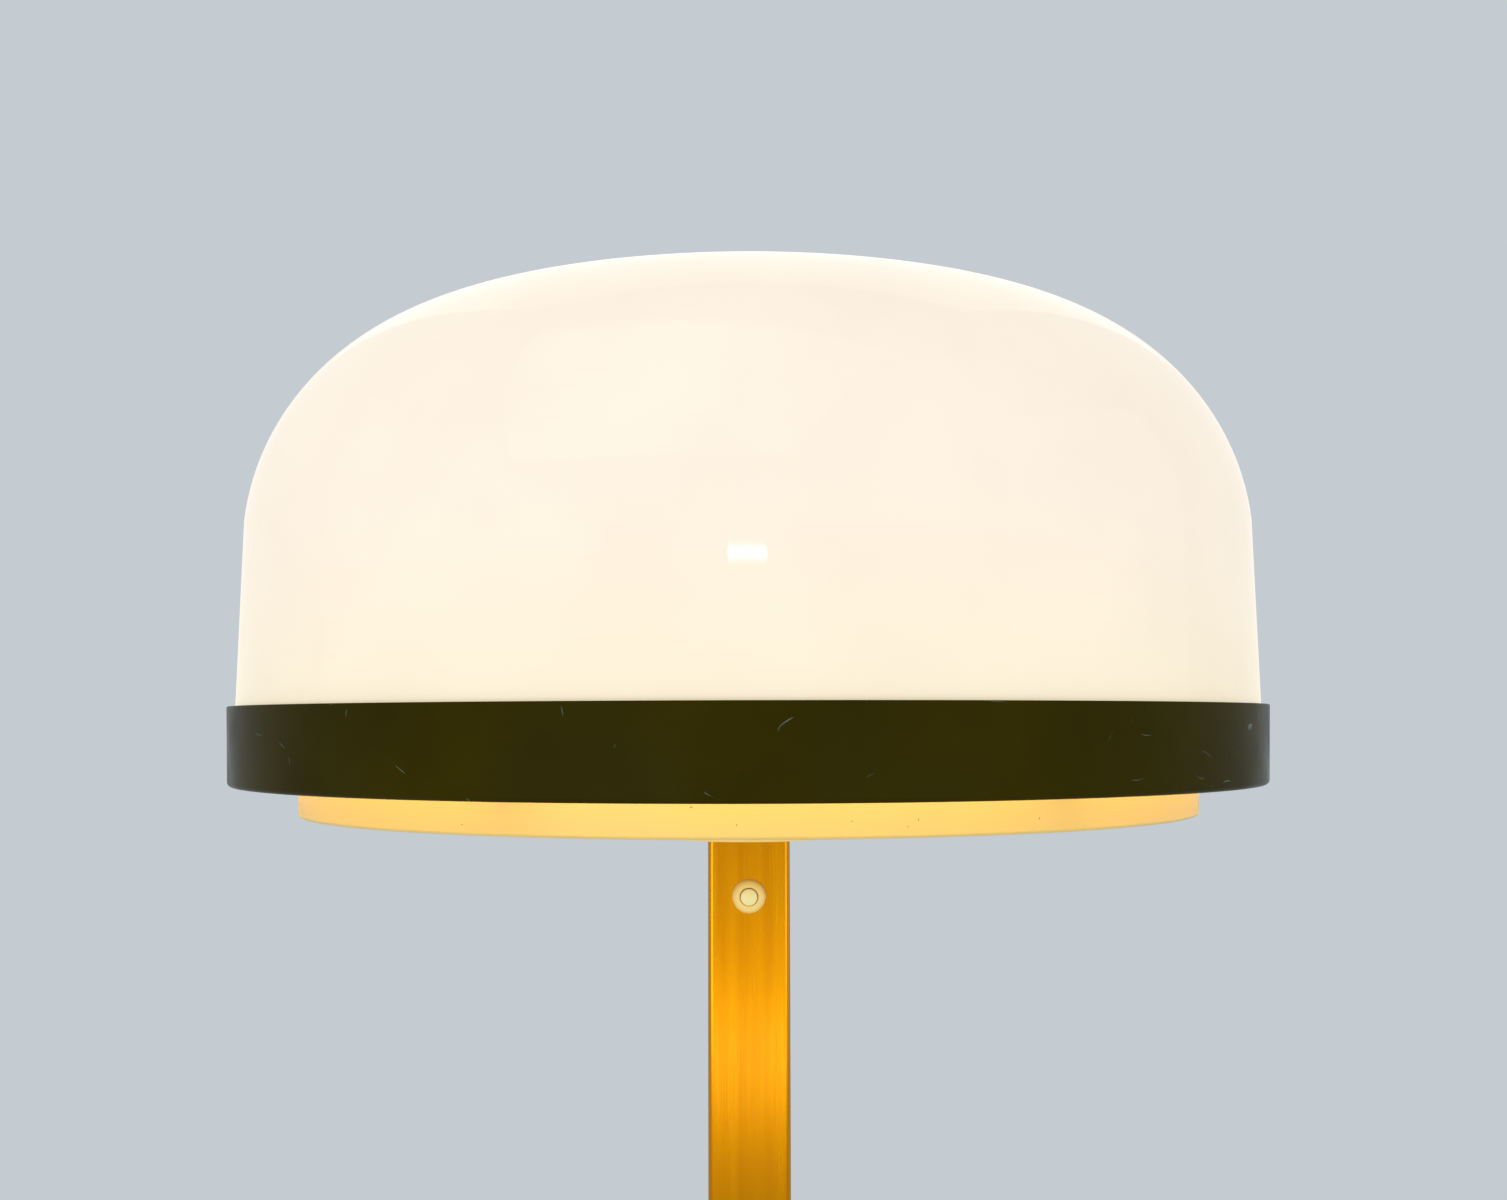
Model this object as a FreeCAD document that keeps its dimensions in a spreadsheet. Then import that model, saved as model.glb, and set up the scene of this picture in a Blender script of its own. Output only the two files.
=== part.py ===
import FreeCAD, Part
import math
import os
import re
import Sketcher

# Mushroom floor lamp, in millimetres. The origin is the centre of the base on the floor, +Z is up
# and the switch on the stem faces -Y. Every size below can be set by itself; all else follows.

SIZES = {
    # round weighted base: lacquered cover over an iron disc, closed from below
    "base_radius": 150,
    "base_height": 20,
    "base_wall": 1.5,
    "base_edge_radius": 5,
    "base_plate_thickness": 1.5,
    "base_plate_play": 0.3,
    "weight_inset": 2,
    "weight_chamfer": 4,
    "pad_thickness": 2,
    "pad_width": 22,
    "pad_inset": 2,
    "plate_screw_inset": 45,
    "plate_screw_radius": 2,
    "plate_screw_length": 9,
    "plate_screw_head_radius": 4,
    "plate_screw_head_height": 1.6,
    "plate_screw_count": 4,
    # the way of the mains cord: grommet in the rim, groove in the iron, hole up into the stem
    "cord_way_radius": 3.75,
    "cord_way_wall": 0.65,
    "cord_way_drop": 1.1,
    "cord_groove_depth": 12,
    "grommet_neck_radius": 5.4,
    "grommet_clearance": 0.2,
    "grommet_flange_thickness": 1.2,
    "grommet_play": 0.3,
    # square brass stem, standing on the base, with a steel plug welded into each end
    "stem_side": 40,
    "stem_wall": 1.5,
    "stem_corner_radius": 2.5,
    "stem_length": 1067,
    "plug_height": 20,
    "plug_play": 0.1,
    "stem_bolt_radius": 5,
    "stem_bolt_head_flats": 17,
    "stem_bolt_head_height": 6.4,
    "stem_bolt_washer_radius": 11,
    "stem_bolt_washer_thickness": 1.6,
    "stem_bolt_recess_play": 1,
    "stem_bolt_recess_depth": 10,
    # push switch in the front of the stem, just under the head
    "switch_drop": 41.2,
    "bezel_radius": 8.25,
    "bezel_height": 4,
    "bezel_edge_radius": 2.5,
    "barrel_radius": 6,
    "barrel_length": 10,
    "switch_nut_flats": 15,
    "switch_nut_height": 2.5,
    "switch_body_radius": 7.5,
    "button_radius": 4.1,
    "button_proud": 2.2,
    "button_edge_radius": 0.8,
    "button_play": 0.3,
    "button_travel": 2,
    # hub under the dish and the threaded tube that holds the head together
    "hub_radius": 45,
    "hub_height": 13.2,
    "hub_wall": 1.2,
    "hub_edge_radius": 1.5,
    "hub_play": 0.4,
    "nipple_radius": 6.5,
    "nipple_bore_radius": 4.5,
    "nipple_grip": 14,
    "nipple_proud": 3,
    "spacer_radius": 12,
    "spacer_height": 10,
    "hub_washer_radius": 13,
    "hub_washer_thickness": 1.5,
    "hub_nut_flats": 19,
    "hub_nut_height": 6,
    "thread_play": 0.1,
    # cream dish that closes the head from below
    "dish_drop": 14.8,
    "dish_rim_height": 22,
    "dish_wall": 1.2,
    "dish_edge_radius": 2.5,
    # dark band round the head, on six brackets riveted to the dish
    "ring_radius": 250,
    "ring_taper": 0.85,
    "light_gap": 31.55,
    "ring_height": 36.35,
    "ring_wall": 2,
    "ring_hem_width": 5,
    "ring_hem_height": 4.5,
    "ring_edge_radius": 2,
    "ring_lip_radius": 0.6,
    "bracket_count": 6,
    "bracket_start_angle": -115.1,
    "bracket_width": 9,
    "bracket_thickness": 1.5,
    "bracket_rise": 6.5,
    "bracket_foot": 1,
    "rivet_radius": 2,
    "rivet_head_radius": 3.4,
    "rivet_head_height": 1.3,
    "rivet_level": 5.5,
    "rivet_play": 0.05,
    "rest_width": 7,
    "rest_thickness": 0.8,
    "rest_length": 4.4,
    # opal acrylic dome, standing on the brackets inside the band
    "dome_wall": 3,
    "dome_height": 209.8,
    "dome_play": 1.84,
    "dome_lean": 2.537,
    "crown_radius": 546.2,
    "shoulder_radius": 116.7,
    "shoulder_start_angle": 5.7,
    # three-armed carrier with its lampholders and the terminal block
    "carrier_radius": 62,
    "carrier_overrun": 21,
    "carrier_arm_width": 28,
    "carrier_thickness": 2,
    "carrier_corner_radius": 6,
    "lamp_circle_radius": 95,
    "holder_wall": 5.2,
    "holder_rim": 2,
    "holder_floor": 14,
    "holder_bore_radius": 14.8,
    "holder_edge_radius": 1.5,
    "holder_nipple_radius": 5,
    "holder_nipple_bore_radius": 3.5,
    "holder_nipple_length": 14,
    "holder_nipple_grip": 8,
    "holder_nut_flats": 14,
    "holder_nut_height": 3,
    "shell_play": 0.3,
    "shell_wall": 0.7,
    "shell_overrun": 0.2,
    "contact_radius": 3,
    "contact_height": 3.5,
    "block_width": 30,
    "block_depth": 18,
    "block_height": 14,
    "block_offset": 42,
    "block_edge_radius": 1,
    "block_screw_radius": 1.5,
    "block_screw_head_radius": 2.8,
    "block_screw_head_height": 1.8,
    "block_screw_spacing": 20,
    # bulbs with a screw cap
    "cap_play": 0.5,
    "cap_height": 24,
    "cap_tip_radius": 4.5,
    "cap_tip_height": 4,
    "cap_gap": 0.3,
    "glass_radius": 30,
    "glass_wall": 1,
    "glass_neck_inset": 0.5,
    "glass_height": 84,
    # twin leads inside the lamp
    "lead_radius": 2,
    "lead_bend_share": 0.45,
    "lead_rise": 30,
    "lead_run": 12,
    "lead_slack": 5,
}

# Heights and places that several pieces share, worked out from the sizes.
DERIVED = {
    "plate_level": "pad_thickness",
    "weight_level": "plate_level + base_plate_thickness",
    "weight_height": "base_height - base_wall - base_plate_thickness",
    "base_inner": "base_radius - base_wall",
    "weight_radius": "base_inner - weight_inset",
    "plate_screw_circle": "base_radius - plate_screw_inset",
    "cord_way_offset": "plug_half - cord_way_wall - cord_way_radius",
    "cord_way_height": "(base_height - base_wall + base_plate_thickness) / 2 - cord_way_drop",
    "grommet_flange_radius": "cord_way_height - base_plate_thickness - grommet_clearance",
    "stem_foot": "pad_thickness + base_height",
    "stem_inner": "stem_side / 2 - stem_wall",
    "plug_half": "stem_inner - plug_play",
    "stem_bolt_recess_radius": "stem_bolt_washer_radius + stem_bolt_recess_play",
    "stem_bolt_roof": "weight_level + stem_bolt_recess_depth",
    "stem_bolt_under_head": "stem_bolt_roof - stem_bolt_washer_thickness",
    "stem_bolt_top": "stem_foot + plug_height",
    "dish_level": "stem_foot + stem_length",
    "hub_level": "dish_level - hub_height",
    "switch_level": "dish_level - switch_drop",
    "button_back": "barrel_length - button_travel - button_play",
    "dish_radius": "ring_foot_radius - light_gap",
    "dish_floor": "dish_level + dish_wall",
    "dish_height": "dish_drop + dish_rim_height",
    "spacer_top": "dish_floor + spacer_height",
    "carrier_top": "spacer_top + carrier_thickness",
    "washer_top": "carrier_top + hub_washer_thickness",
    "nipple_top": "washer_top + hub_nut_height + nipple_proud",
    "ring_level": "dish_level + dish_drop",
    "ring_foot_radius": "ring_radius - ring_taper",
    "ring_slope": "ring_taper / ring_height",
    "bracket_reach": "ring_foot_radius - ring_wall + ring_slope * ring_hem_height",
    "bracket_level": "rivet_level + bracket_rise",
    "rest_level": "bracket_level + rest_thickness",
    "dome_foot_drop": "ring_height - rest_level",
    "dome_waist_radius": "ring_radius - ring_wall - dome_play",
    "side_top_radius": "dome_waist_radius - dome_lean",
    "shoulder_centre_radius": "side_top_radius - shoulder_radius * cos(shoulder_start_angle)",
    "crown_centre": "dome_height - crown_radius",
    "centre_distance": "crown_radius - shoulder_radius",
    "crown_angle": "acos(shoulder_centre_radius / centre_distance)",
    "shoulder_centre": "crown_centre + centre_distance * sin(crown_angle)",
    "side_top": "shoulder_centre + shoulder_radius * sin(shoulder_start_angle)",
    "dome_foot_radius": "dome_waist_radius + dome_lean * dome_foot_drop / side_top",
    "carrier_reach": "lamp_circle_radius + carrier_overrun",
    "holder_radius": "holder_bore_radius + holder_wall",
    "holder_height": "holder_floor + shell_height + holder_rim",
    "shell_outer_radius": "holder_bore_radius - shell_play",
    "shell_height": "contact_height + cap_gap + cap_height + shell_overrun",
    "cap_radius": "shell_outer_radius - shell_wall - cap_play",
    "glass_neck_radius": "cap_radius - glass_neck_inset",
    "glass_reach": "sqrt(glass_neck_radius ^ 2 + glass_centre ^ 2)",
    "glass_touch_angle": "acos(glass_radius / glass_reach)"
                         " - atan(glass_centre / glass_neck_radius)",
    "cap_level": "carrier_top + holder_floor + contact_height + cap_gap",
    "glass_level": "cap_level + cap_height",
    "glass_centre": "glass_height - glass_radius",
    "block_top": "carrier_top + block_height",
    "lead_level": "carrier_top + block_height / 2",
    "lead_rest": "carrier_top + lead_radius",
    "lead_pass": "hub_washer_radius + 3 * lead_radius",
    "side_lamp_reach": "lamp_circle_radius * cos(30)",
    "side_lamp_depth": "lamp_circle_radius * sin(30)",
}

FULL_TURN = 360
DEEP = FreeCAD.Vector(0, 1, 0)
UP = FreeCAD.Vector(0, 0, 1)
WORD = re.compile(r"[a-z][a-z_]*")

doc = FreeCAD.newDocument("mushroom_lamp")
sheet = doc.addObject("Spreadsheet::Sheet", "sizes")
for row, (alias, size) in enumerate(SIZES.items(), 1):
    sheet.set("A%d" % row, alias)
    sheet.set("B%d" % row, str(size))
    sheet.setAlias("B%d" % row, alias)
doc.recompute()

pieces = []


def formula(text):
    """Spell a formula out in cells of the sheet."""
    def spell(found):
        word = found.group()
        if word in DERIVED:
            return "(%s)" % formula(DERIVED[word])
        return "sizes." + word if word in SIZES else word
    return WORD.sub(spell, text)


def value(text):
    """The number that a formula comes to."""
    return float(sheet.evalExpression(formula(text)))


def bind(thing, path, text):
    """Tie one property of an object to a formula of named sizes."""
    thing.setExpression(path, formula(text))


def seat(piece, across="0", deep="0", up="0", turn="0"):
    """Place a piece in the lamp: a position, and a turn about the upright axis."""
    for path, text in (("Base.x", across), ("Base.y", deep), ("Base.z", up)):
        bind(piece, "Placement." + path, text)
    piece.Placement = FreeCAD.Placement(FreeCAD.Vector(), FreeCAD.Rotation(UP, FULL_TURN / 4))
    bind(piece, "Placement.Rotation.Angle", turn)
    return piece


def new_body(name):
    """An empty body that will hold one piece."""
    body = doc.addObject("PartDesign::Body", name)
    body.Label = name
    pieces.append(body)
    return body


def new_shape(name, shape):
    """A piece, or a group of like pieces, from a finished shape."""
    piece = doc.addObject("Part::Feature", name)
    piece.Label = name
    piece.Shape = shape
    pieces.append(piece)
    return piece


def origin_part(body, role):
    """One of the body's own base planes or axes."""
    return [part for part in body.Origin.OriginFeatures if part.Role == role][0]


def new_sketch(body, plane, offset="0"):
    """An empty sketch on one of the body's base planes, or at an offset along its normal."""
    sketch = body.newObject("Sketcher::SketchObject", body.Name + "_sketch")
    sketch.AttachmentSupport = [(origin_part(body, plane), "")]
    sketch.MapMode = "FlatFace"
    bind(sketch, "AttachmentOffset.Base.z", offset)
    return sketch


def pin_point(sketch, side, end, across, up):
    """Hold one point of a sketch at its two distances from the origin."""
    for kind, axis, text in (("DistanceX", -2, across), ("DistanceY", -1, up)):
        if text == "0":
            sketch.addConstraint(Sketcher.Constraint("PointOnObject", side, end, axis))
        else:
            rule = Sketcher.Constraint(kind, -1, 1, side, end, value(text))
            bind(sketch, "Constraints[%d]" % sketch.addConstraint(rule), text)


def arc_between(start, finish, radius):
    """An arc from start to finish, anticlockwise for a positive radius."""
    chord = finish - start
    left = FreeCAD.Vector(-chord.y, chord.x, 0).normalize() * math.copysign(1, radius)
    reach = math.sqrt(radius ** 2 - (chord.Length / 2) ** 2)
    centre = (start + finish) / 2 + left * reach
    angles = [math.atan2(end.y - centre.y, end.x - centre.x) for end in (start, finish)]
    if radius < 0:
        angles.reverse()
    circle = Part.Circle(centre, UP, abs(radius))
    return Part.ArcOfCircle(circle, *angles)


def draw_outline(sketch, corners, bends):
    """Draw a closed outline; a bend makes an arc of the side that leaves that corner."""
    first = sketch.GeometryCount
    points = [FreeCAD.Vector(value(across), value(up), 0) for across, up in corners]
    ends = []
    for number, start in enumerate(points):
        finish = points[(number + 1) % len(points)]
        radius = value(bends[number]) if number in bends else 0
        side = arc_between(start, finish, radius) if radius else Part.LineSegment(start, finish)
        sketch.addGeometry(side, False)
        ends.append((2, 1) if radius < 0 else (1, 2))
    for number, (across, up) in enumerate(corners):
        following = (number + 1) % len(points)
        joint = (first + number, ends[number][1], first + following, ends[following][0])
        sketch.addConstraint(Sketcher.Constraint("Coincident", *joint))
        pin_point(sketch, first + number, ends[number][0], across, up)
    for number, text in bends.items():
        rule = Sketcher.Constraint("Radius", first + number, abs(value(text)))
        bind(sketch, "Constraints[%d]" % sketch.addConstraint(rule), "abs(%s)" % text)


def draw_circle(sketch, across, up, radius):
    """Draw one circle at a named place."""
    centre = FreeCAD.Vector(value(across), value(up), 0)
    circle = Part.Circle(centre, UP, value(radius))
    side = sketch.addGeometry(circle, False)
    pin_point(sketch, side, 3, across, up)
    rule = Sketcher.Constraint("Radius", side, value(radius))
    bind(sketch, "Constraints[%d]" % sketch.addConstraint(rule), radius)


def repeat(body, features, count):
    """Repeat features in even steps round the upright axis."""
    pattern = body.newObject("PartDesign::PolarPattern", body.Name + "_pattern")
    pattern.Originals = features
    pattern.Axis = (origin_part(body, "Z_Axis"), [""])
    pattern.Angle = FULL_TURN
    bind(pattern, "Occurrences", count)
    body.Tip = pattern
    return body


def turned(name, corners, bends={}, plane="XZ_Plane", axis="V_Axis", sweep=None, count=None):
    """A piece of revolution from its section; a sweep makes a narrow slice, a count repeats it."""
    body = new_body(name)
    sketch = new_sketch(body, plane)
    draw_outline(sketch, corners, bends)
    turn = body.newObject("PartDesign::Revolution", name + "_turn")
    turn.Profile = sketch
    turn.ReferenceAxis = (sketch, [axis])
    turn.Angle = FULL_TURN
    if sweep:
        turn.Midplane = True
        bind(turn, "Angle", sweep)
    if count:
        repeat(body, [turn], count)
    return body


def pad(body, plane, length, corners=None, circles=(), reverse=False, offset="0"):
    """Raise an outline, round spots, or an outline with round holes, from a base plane."""
    sketch = new_sketch(body, plane, offset)
    if corners:
        draw_outline(sketch, corners, {})
    for circle in circles:
        draw_circle(sketch, *circle)
    raised = body.newObject("PartDesign::Pad", body.Name + "_pad")
    raised.Profile = sketch
    raised.Reversed = reverse
    bind(raised, "Length", length)
    return raised


def extruded(name, corners, height, circles=()):
    """An upright plate or bar from its plan, with round holes if circles are given."""
    body = new_body(name)
    pad(body, "XY_Plane", height, corners, circles)
    return body


def cut(body, plane, length, corners=None, circle=None, reverse=False, count=None):
    """Cut a pocket or a round hole that starts on a base plane of the body."""
    sketch = new_sketch(body, plane)
    if corners:
        draw_outline(sketch, corners, {})
    else:
        draw_circle(sketch, *circle)
    pocket = body.newObject("PartDesign::Pocket", body.Name + "_cut")
    pocket.Profile = sketch
    pocket.Reversed = reverse
    bind(pocket, "Length", length)
    if count:
        repeat(body, [pocket], count)
    return body


def rounded(body, radius, chosen, chamfer=False):
    """Round or chamfer the edges of the body so far that a test picks."""
    doc.recompute()
    base = body.Tip
    edges = ["Edge%d" % number for number, edge in enumerate(base.Shape.Edges, 1) if chosen(edge)]
    kind = "Chamfer" if chamfer else "Fillet"
    finish = body.newObject("PartDesign::" + kind, "%s_%s" % (body.Name, kind.lower()))
    finish.Base = (base, edges)
    bind(finish, "Size" if chamfer else "Radius", radius)
    return body


def ring_edge(radius, place, along=UP):
    """A test for the circular edge of a turned piece, at a radius and a place on its axis."""
    wanted = along * value(place)

    def chosen(edge):
        if not isinstance(edge.Curve, Part.Circle):
            return False
        same_place = edge.Curve.Center.isEqual(wanted, Part.Precision.confusion())
        return same_place and math.isclose(edge.Curve.Radius, value(radius))
    return chosen


def upright_edge(edge):
    """Picks the straight edges that run along Z."""
    return isinstance(edge.Curve, Part.Line) and abs(edge.Curve.Direction.z) > abs(
        edge.Curve.Direction.x) + abs(edge.Curve.Direction.y)


def upright_edge_beyond(radius):
    """A test for the straight edges along Z that lie further out than a radius."""
    limit = value(radius)

    def chosen(edge):
        middle = edge.CenterOfMass
        return upright_edge(edge) and math.hypot(middle.x, middle.y) > limit
    return chosen


def rectangle(half_width, half_depth, deep="0"):
    """The four corners of a rectangle whose middle is on the Y axis."""
    near = "%s - (%s)" % (deep, half_depth)
    far = "%s + (%s)" % (deep, half_depth)
    left = "-(%s)" % half_width
    return [(left, near), (half_width, near), (half_width, far), (left, far)]


def hexagon(flats, deep="0"):
    """The six corners of a nut or bolt head from its width across flats."""
    corner = "%s / 2 / cos(30)" % flats
    return [("%s * cos(%d)" % (corner, turn), "%s + %s * sin(%d)" % (deep, corner, turn))
            for turn in range(30, 390, 60)]


def washer(name, radius, hole, thickness):
    """A flat ring."""
    return turned(name, [(hole, "0"), (radius, "0"), (radius, thickness), (hole, thickness)])


# Base: felt pad, closing plate with its screws, iron weight, lacquered cover, rubber cord grommet.

pad_outer = "base_radius - pad_inset"
seat(washer("base_pad", pad_outer, pad_outer + " - pad_width", "pad_thickness"))

plate = washer("base_plate", "base_inner - base_plate_play", "stem_bolt_recess_radius",
               "base_plate_thickness")
plate_screw_place = ("plate_screw_circle * cos(45)", "plate_screw_circle * sin(45)")
plate_screw_hole = (*plate_screw_place, "plate_screw_radius + thread_play")
cut(plate, "XY_Plane", "base_plate_thickness", circle=plate_screw_hole, reverse=True,
    count="plate_screw_count")
seat(plate, up="plate_level")

bolt_hole = "stem_bolt_radius + thread_play"
weight = turned("base_weight", [
    ("stem_bolt_recess_radius", "0"),
    ("weight_radius", "0"),
    ("weight_radius", "weight_height"),
    (bolt_hole, "weight_height"),
    (bolt_hole, "stem_bolt_recess_depth"),
    ("stem_bolt_recess_radius", "stem_bolt_recess_depth"),
])
rounded(weight, "weight_chamfer", ring_edge("weight_radius", "weight_height"), chamfer=True)
cord_way = ("0", "cord_way_offset", "cord_way_radius")
cut(weight, "XY_Plane", "weight_height", circle=cord_way, reverse=True)
groove = rectangle("cord_way_radius", "(base_radius - cord_way_offset) / 2",
                   "(base_radius + cord_way_offset) / 2")
cut(weight, "XY_Plane", "cord_groove_depth", corners=groove, reverse=True)
cut(weight, "XY_Plane", "plate_screw_length", circle=plate_screw_hole, reverse=True,
    count="plate_screw_count")
seat(weight, up="weight_level")

cover = turned("base_cover", [
    ("base_inner", "0"),
    ("base_radius", "0"),
    ("base_radius", "base_height"),
    (bolt_hole, "base_height"),
    (bolt_hole, "base_height - base_wall"),
    ("base_inner", "base_height - base_wall"),
])
rounded(cover, "base_edge_radius", ring_edge("base_radius", "base_height"))
rounded(cover, "base_edge_radius - base_wall",
        ring_edge("base_inner", "base_height - base_wall"))
cut(cover, "XY_Plane", "base_height", circle=cord_way, reverse=True)
cut(cover, "XZ_Plane", "base_radius",
    circle=("0", "cord_way_height", "grommet_neck_radius + thread_play"))
seat(cover, up="pad_thickness")

plate_screws = new_body("base_plate_screws")
plate_screw_parts = [
    pad(plate_screws, "XY_Plane", "plate_screw_length",
        circles=[(*plate_screw_place, "plate_screw_radius")]),
    pad(plate_screws, "XY_Plane", "plate_screw_head_height",
        circles=[(*plate_screw_place, "plate_screw_head_radius")], reverse=True),
]
repeat(plate_screws, plate_screw_parts, "plate_screw_count")
seat(plate_screws, up="plate_level")

grommet_neck_end = "base_wall + grommet_play"
grommet = turned("cord_grommet", [
    ("grommet_flange_thickness", "cord_way_radius"),
    ("grommet_flange_thickness", "grommet_flange_radius"),
    ("0", "grommet_flange_radius"),
    ("0", "grommet_neck_radius"),
    ("-(%s)" % grommet_neck_end, "grommet_neck_radius"),
    ("-(%s)" % grommet_neck_end, "grommet_flange_radius"),
    ("-(%s + grommet_flange_thickness)" % grommet_neck_end, "grommet_flange_radius"),
    ("-(%s + grommet_flange_thickness)" % grommet_neck_end, "cord_way_radius"),
], plane="YZ_Plane", axis="H_Axis")
seat(grommet, deep="base_radius", up="pad_thickness + cord_way_height")


# Stem: a square tube with a plug in each end, bolted down through the base.

stem_square = rectangle("stem_side / 2", "stem_side / 2")
stem = extruded("stem_tube", stem_square, "stem_length")
rounded(stem, "stem_corner_radius", upright_edge)
cut(stem, "XY_Plane", "stem_length", corners=rectangle("stem_inner", "stem_inner"), reverse=True)
cut(stem, "XZ_Plane", "stem_side", reverse=True,
    circle=("0", "stem_length - switch_drop", "barrel_radius + thread_play"))
seat(stem, up="stem_foot")

plug_square = rectangle("plug_half", "plug_half")
foot_plug = extruded("stem_foot_plug", plug_square, "plug_height",
                     [("0", "0", bolt_hole), cord_way])
rounded(foot_plug, "stem_corner_radius - stem_wall", upright_edge)
seat(foot_plug, up="stem_foot")
head_plug = extruded("stem_head_plug", plug_square, "plug_height",
                     [("0", "0", "nipple_radius + thread_play")])
rounded(head_plug, "stem_corner_radius - stem_wall", upright_edge)
seat(head_plug, up="dish_level - plug_height")

seat(washer("stem_bolt_washer", "stem_bolt_washer_radius", bolt_hole,
            "stem_bolt_washer_thickness"), up="stem_bolt_under_head")
bolt = new_body("stem_bolt")
pad(bolt, "XY_Plane", "stem_bolt_head_height", corners=hexagon("stem_bolt_head_flats"),
    reverse=True)
pad(bolt, "XY_Plane", "stem_bolt_top - stem_bolt_under_head",
    circles=[("0", "0", "stem_bolt_radius")])
seat(bolt, up="stem_bolt_under_head")


# Push switch in the front wall of the stem; each piece is placed from the stem's front face.

button_hole = "button_radius + button_play"
bezel = turned("switch_bezel", [
    ("-bezel_height", button_hole),
    ("barrel_length", button_hole),
    ("barrel_length", "barrel_radius"),
    ("0", "barrel_radius"),
    ("0", "bezel_radius"),
    ("-bezel_height", "bezel_radius"),
], plane="YZ_Plane", axis="H_Axis")
rounded(bezel, "bezel_edge_radius", ring_edge("bezel_radius", "-bezel_height", DEEP))

button_front = "-(bezel_height + button_proud)"
button = turned("push_button", [
    (button_front, "0"),
    ("button_back", "0"),
    ("button_back", "button_radius"),
    (button_front, "button_radius"),
], plane="YZ_Plane", axis="H_Axis")
rounded(button, "button_edge_radius", ring_edge("button_radius", button_front, DEEP))

switch_body = turned("switch_body", [
    ("barrel_length", "0"),
    ("stem_side - barrel_length", "0"),
    ("stem_side - barrel_length", "switch_body_radius"),
    ("barrel_length", "switch_body_radius"),
], plane="YZ_Plane", axis="H_Axis")

switch_nut = new_body("switch_nut")
pad(switch_nut, "XZ_Plane", "switch_nut_height", corners=hexagon("switch_nut_flats"),
    circles=[("0", "0", "barrel_radius + thread_play")], reverse=True, offset="-stem_wall")

for piece in (bezel, button, switch_body, switch_nut):
    seat(piece, deep="-stem_side / 2", up="switch_level")


# Hub and the threaded tube that clamps hub, dish, spacer and carrier to the stem's head.

hub = turned("hub_cover", [
    ("0", "0"),
    ("hub_radius", "0"),
    ("hub_radius", "hub_height"),
    ("hub_radius - hub_wall", "hub_height"),
    ("hub_radius - hub_wall", "hub_wall"),
    ("0", "hub_wall"),
])
rounded(hub, "hub_edge_radius", ring_edge("hub_radius", "0"))
hub_square = rectangle("stem_side / 2 + hub_play", "stem_side / 2 + hub_play")
cut(hub, "XY_Plane", "hub_height", corners=hub_square, reverse=True)
seat(hub, up="hub_level")

clamp_hole = "nipple_radius + thread_play"
nipple = turned("hub_nipple", [
    ("nipple_bore_radius", "-nipple_grip"),
    ("nipple_radius", "-nipple_grip"),
    ("nipple_radius", "nipple_top - dish_level"),
    ("nipple_bore_radius", "nipple_top - dish_level"),
])
seat(nipple, up="dish_level")
seat(washer("hub_spacer", "spacer_radius", clamp_hole, "spacer_height"), up="dish_floor")
seat(washer("hub_washer", "hub_washer_radius", clamp_hole, "hub_washer_thickness"),
     up="carrier_top")
seat(extruded("hub_nut", hexagon("hub_nut_flats"), "hub_nut_height", [("0", "0", clamp_hole)]),
     up="washer_top")


# Dish: a spun pan that holds the lamps and throws their light up.

dish = turned("reflector_dish", [
    (clamp_hole, "0"),
    ("dish_radius", "0"),
    ("dish_radius", "dish_height"),
    ("dish_radius - dish_wall", "dish_height"),
    ("dish_radius - dish_wall", "dish_wall"),
    (clamp_hole, "dish_wall"),
])
rounded(dish, "dish_edge_radius", ring_edge("dish_radius", "0"))
rounded(dish, "dish_edge_radius - dish_wall", ring_edge("dish_radius - dish_wall", "dish_wall"))
cut(dish, "YZ_Plane", "dish_radius", count="bracket_count",
    circle=("0", "dish_drop + rivet_level", "rivet_radius + thread_play"))
seat(dish, up="dish_level", turn="bracket_start_angle")


# Band with its brackets, rivets and the soft rests that the dome stands on.

ring_hem_radius = "ring_foot_radius - ring_hem_width"
band = turned("ring_band", [
    (ring_hem_radius, "0"),
    ("ring_foot_radius", "0"),
    ("ring_radius", "ring_height"),
    ("ring_radius - ring_wall", "ring_height"),
    ("bracket_reach", "ring_hem_height"),
    (ring_hem_radius, "ring_hem_height"),
])
rounded(band, "ring_edge_radius", ring_edge("ring_foot_radius", "0"))
rounded(band, "ring_edge_radius", ring_edge(ring_hem_radius, "0"))
rounded(band, "ring_lip_radius", ring_edge("ring_radius", "ring_height"))
rounded(band, "ring_lip_radius", ring_edge("ring_radius - ring_wall", "ring_height"))
seat(band, up="ring_level")

bracket_under = "bracket_level - bracket_thickness"
brackets = turned("ring_brackets", [
    ("dish_radius", "bracket_foot"),
    ("dish_radius + bracket_thickness", "bracket_foot"),
    ("dish_radius + bracket_thickness", bracket_under),
    ("bracket_reach - bracket_thickness", bracket_under),
    ("bracket_reach - bracket_thickness", "ring_hem_height"),
    ("bracket_reach", "ring_hem_height"),
    ("bracket_reach", "bracket_level"),
    ("dish_radius", "bracket_level"),
], sweep="bracket_width / dish_radius * 180 / pi", count="bracket_count")
cut(brackets, "YZ_Plane", "bracket_reach", count="bracket_count",
    circle=("0", "rivet_level", "rivet_radius + thread_play"))
seat(brackets, up="ring_level", turn="bracket_start_angle")

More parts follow.
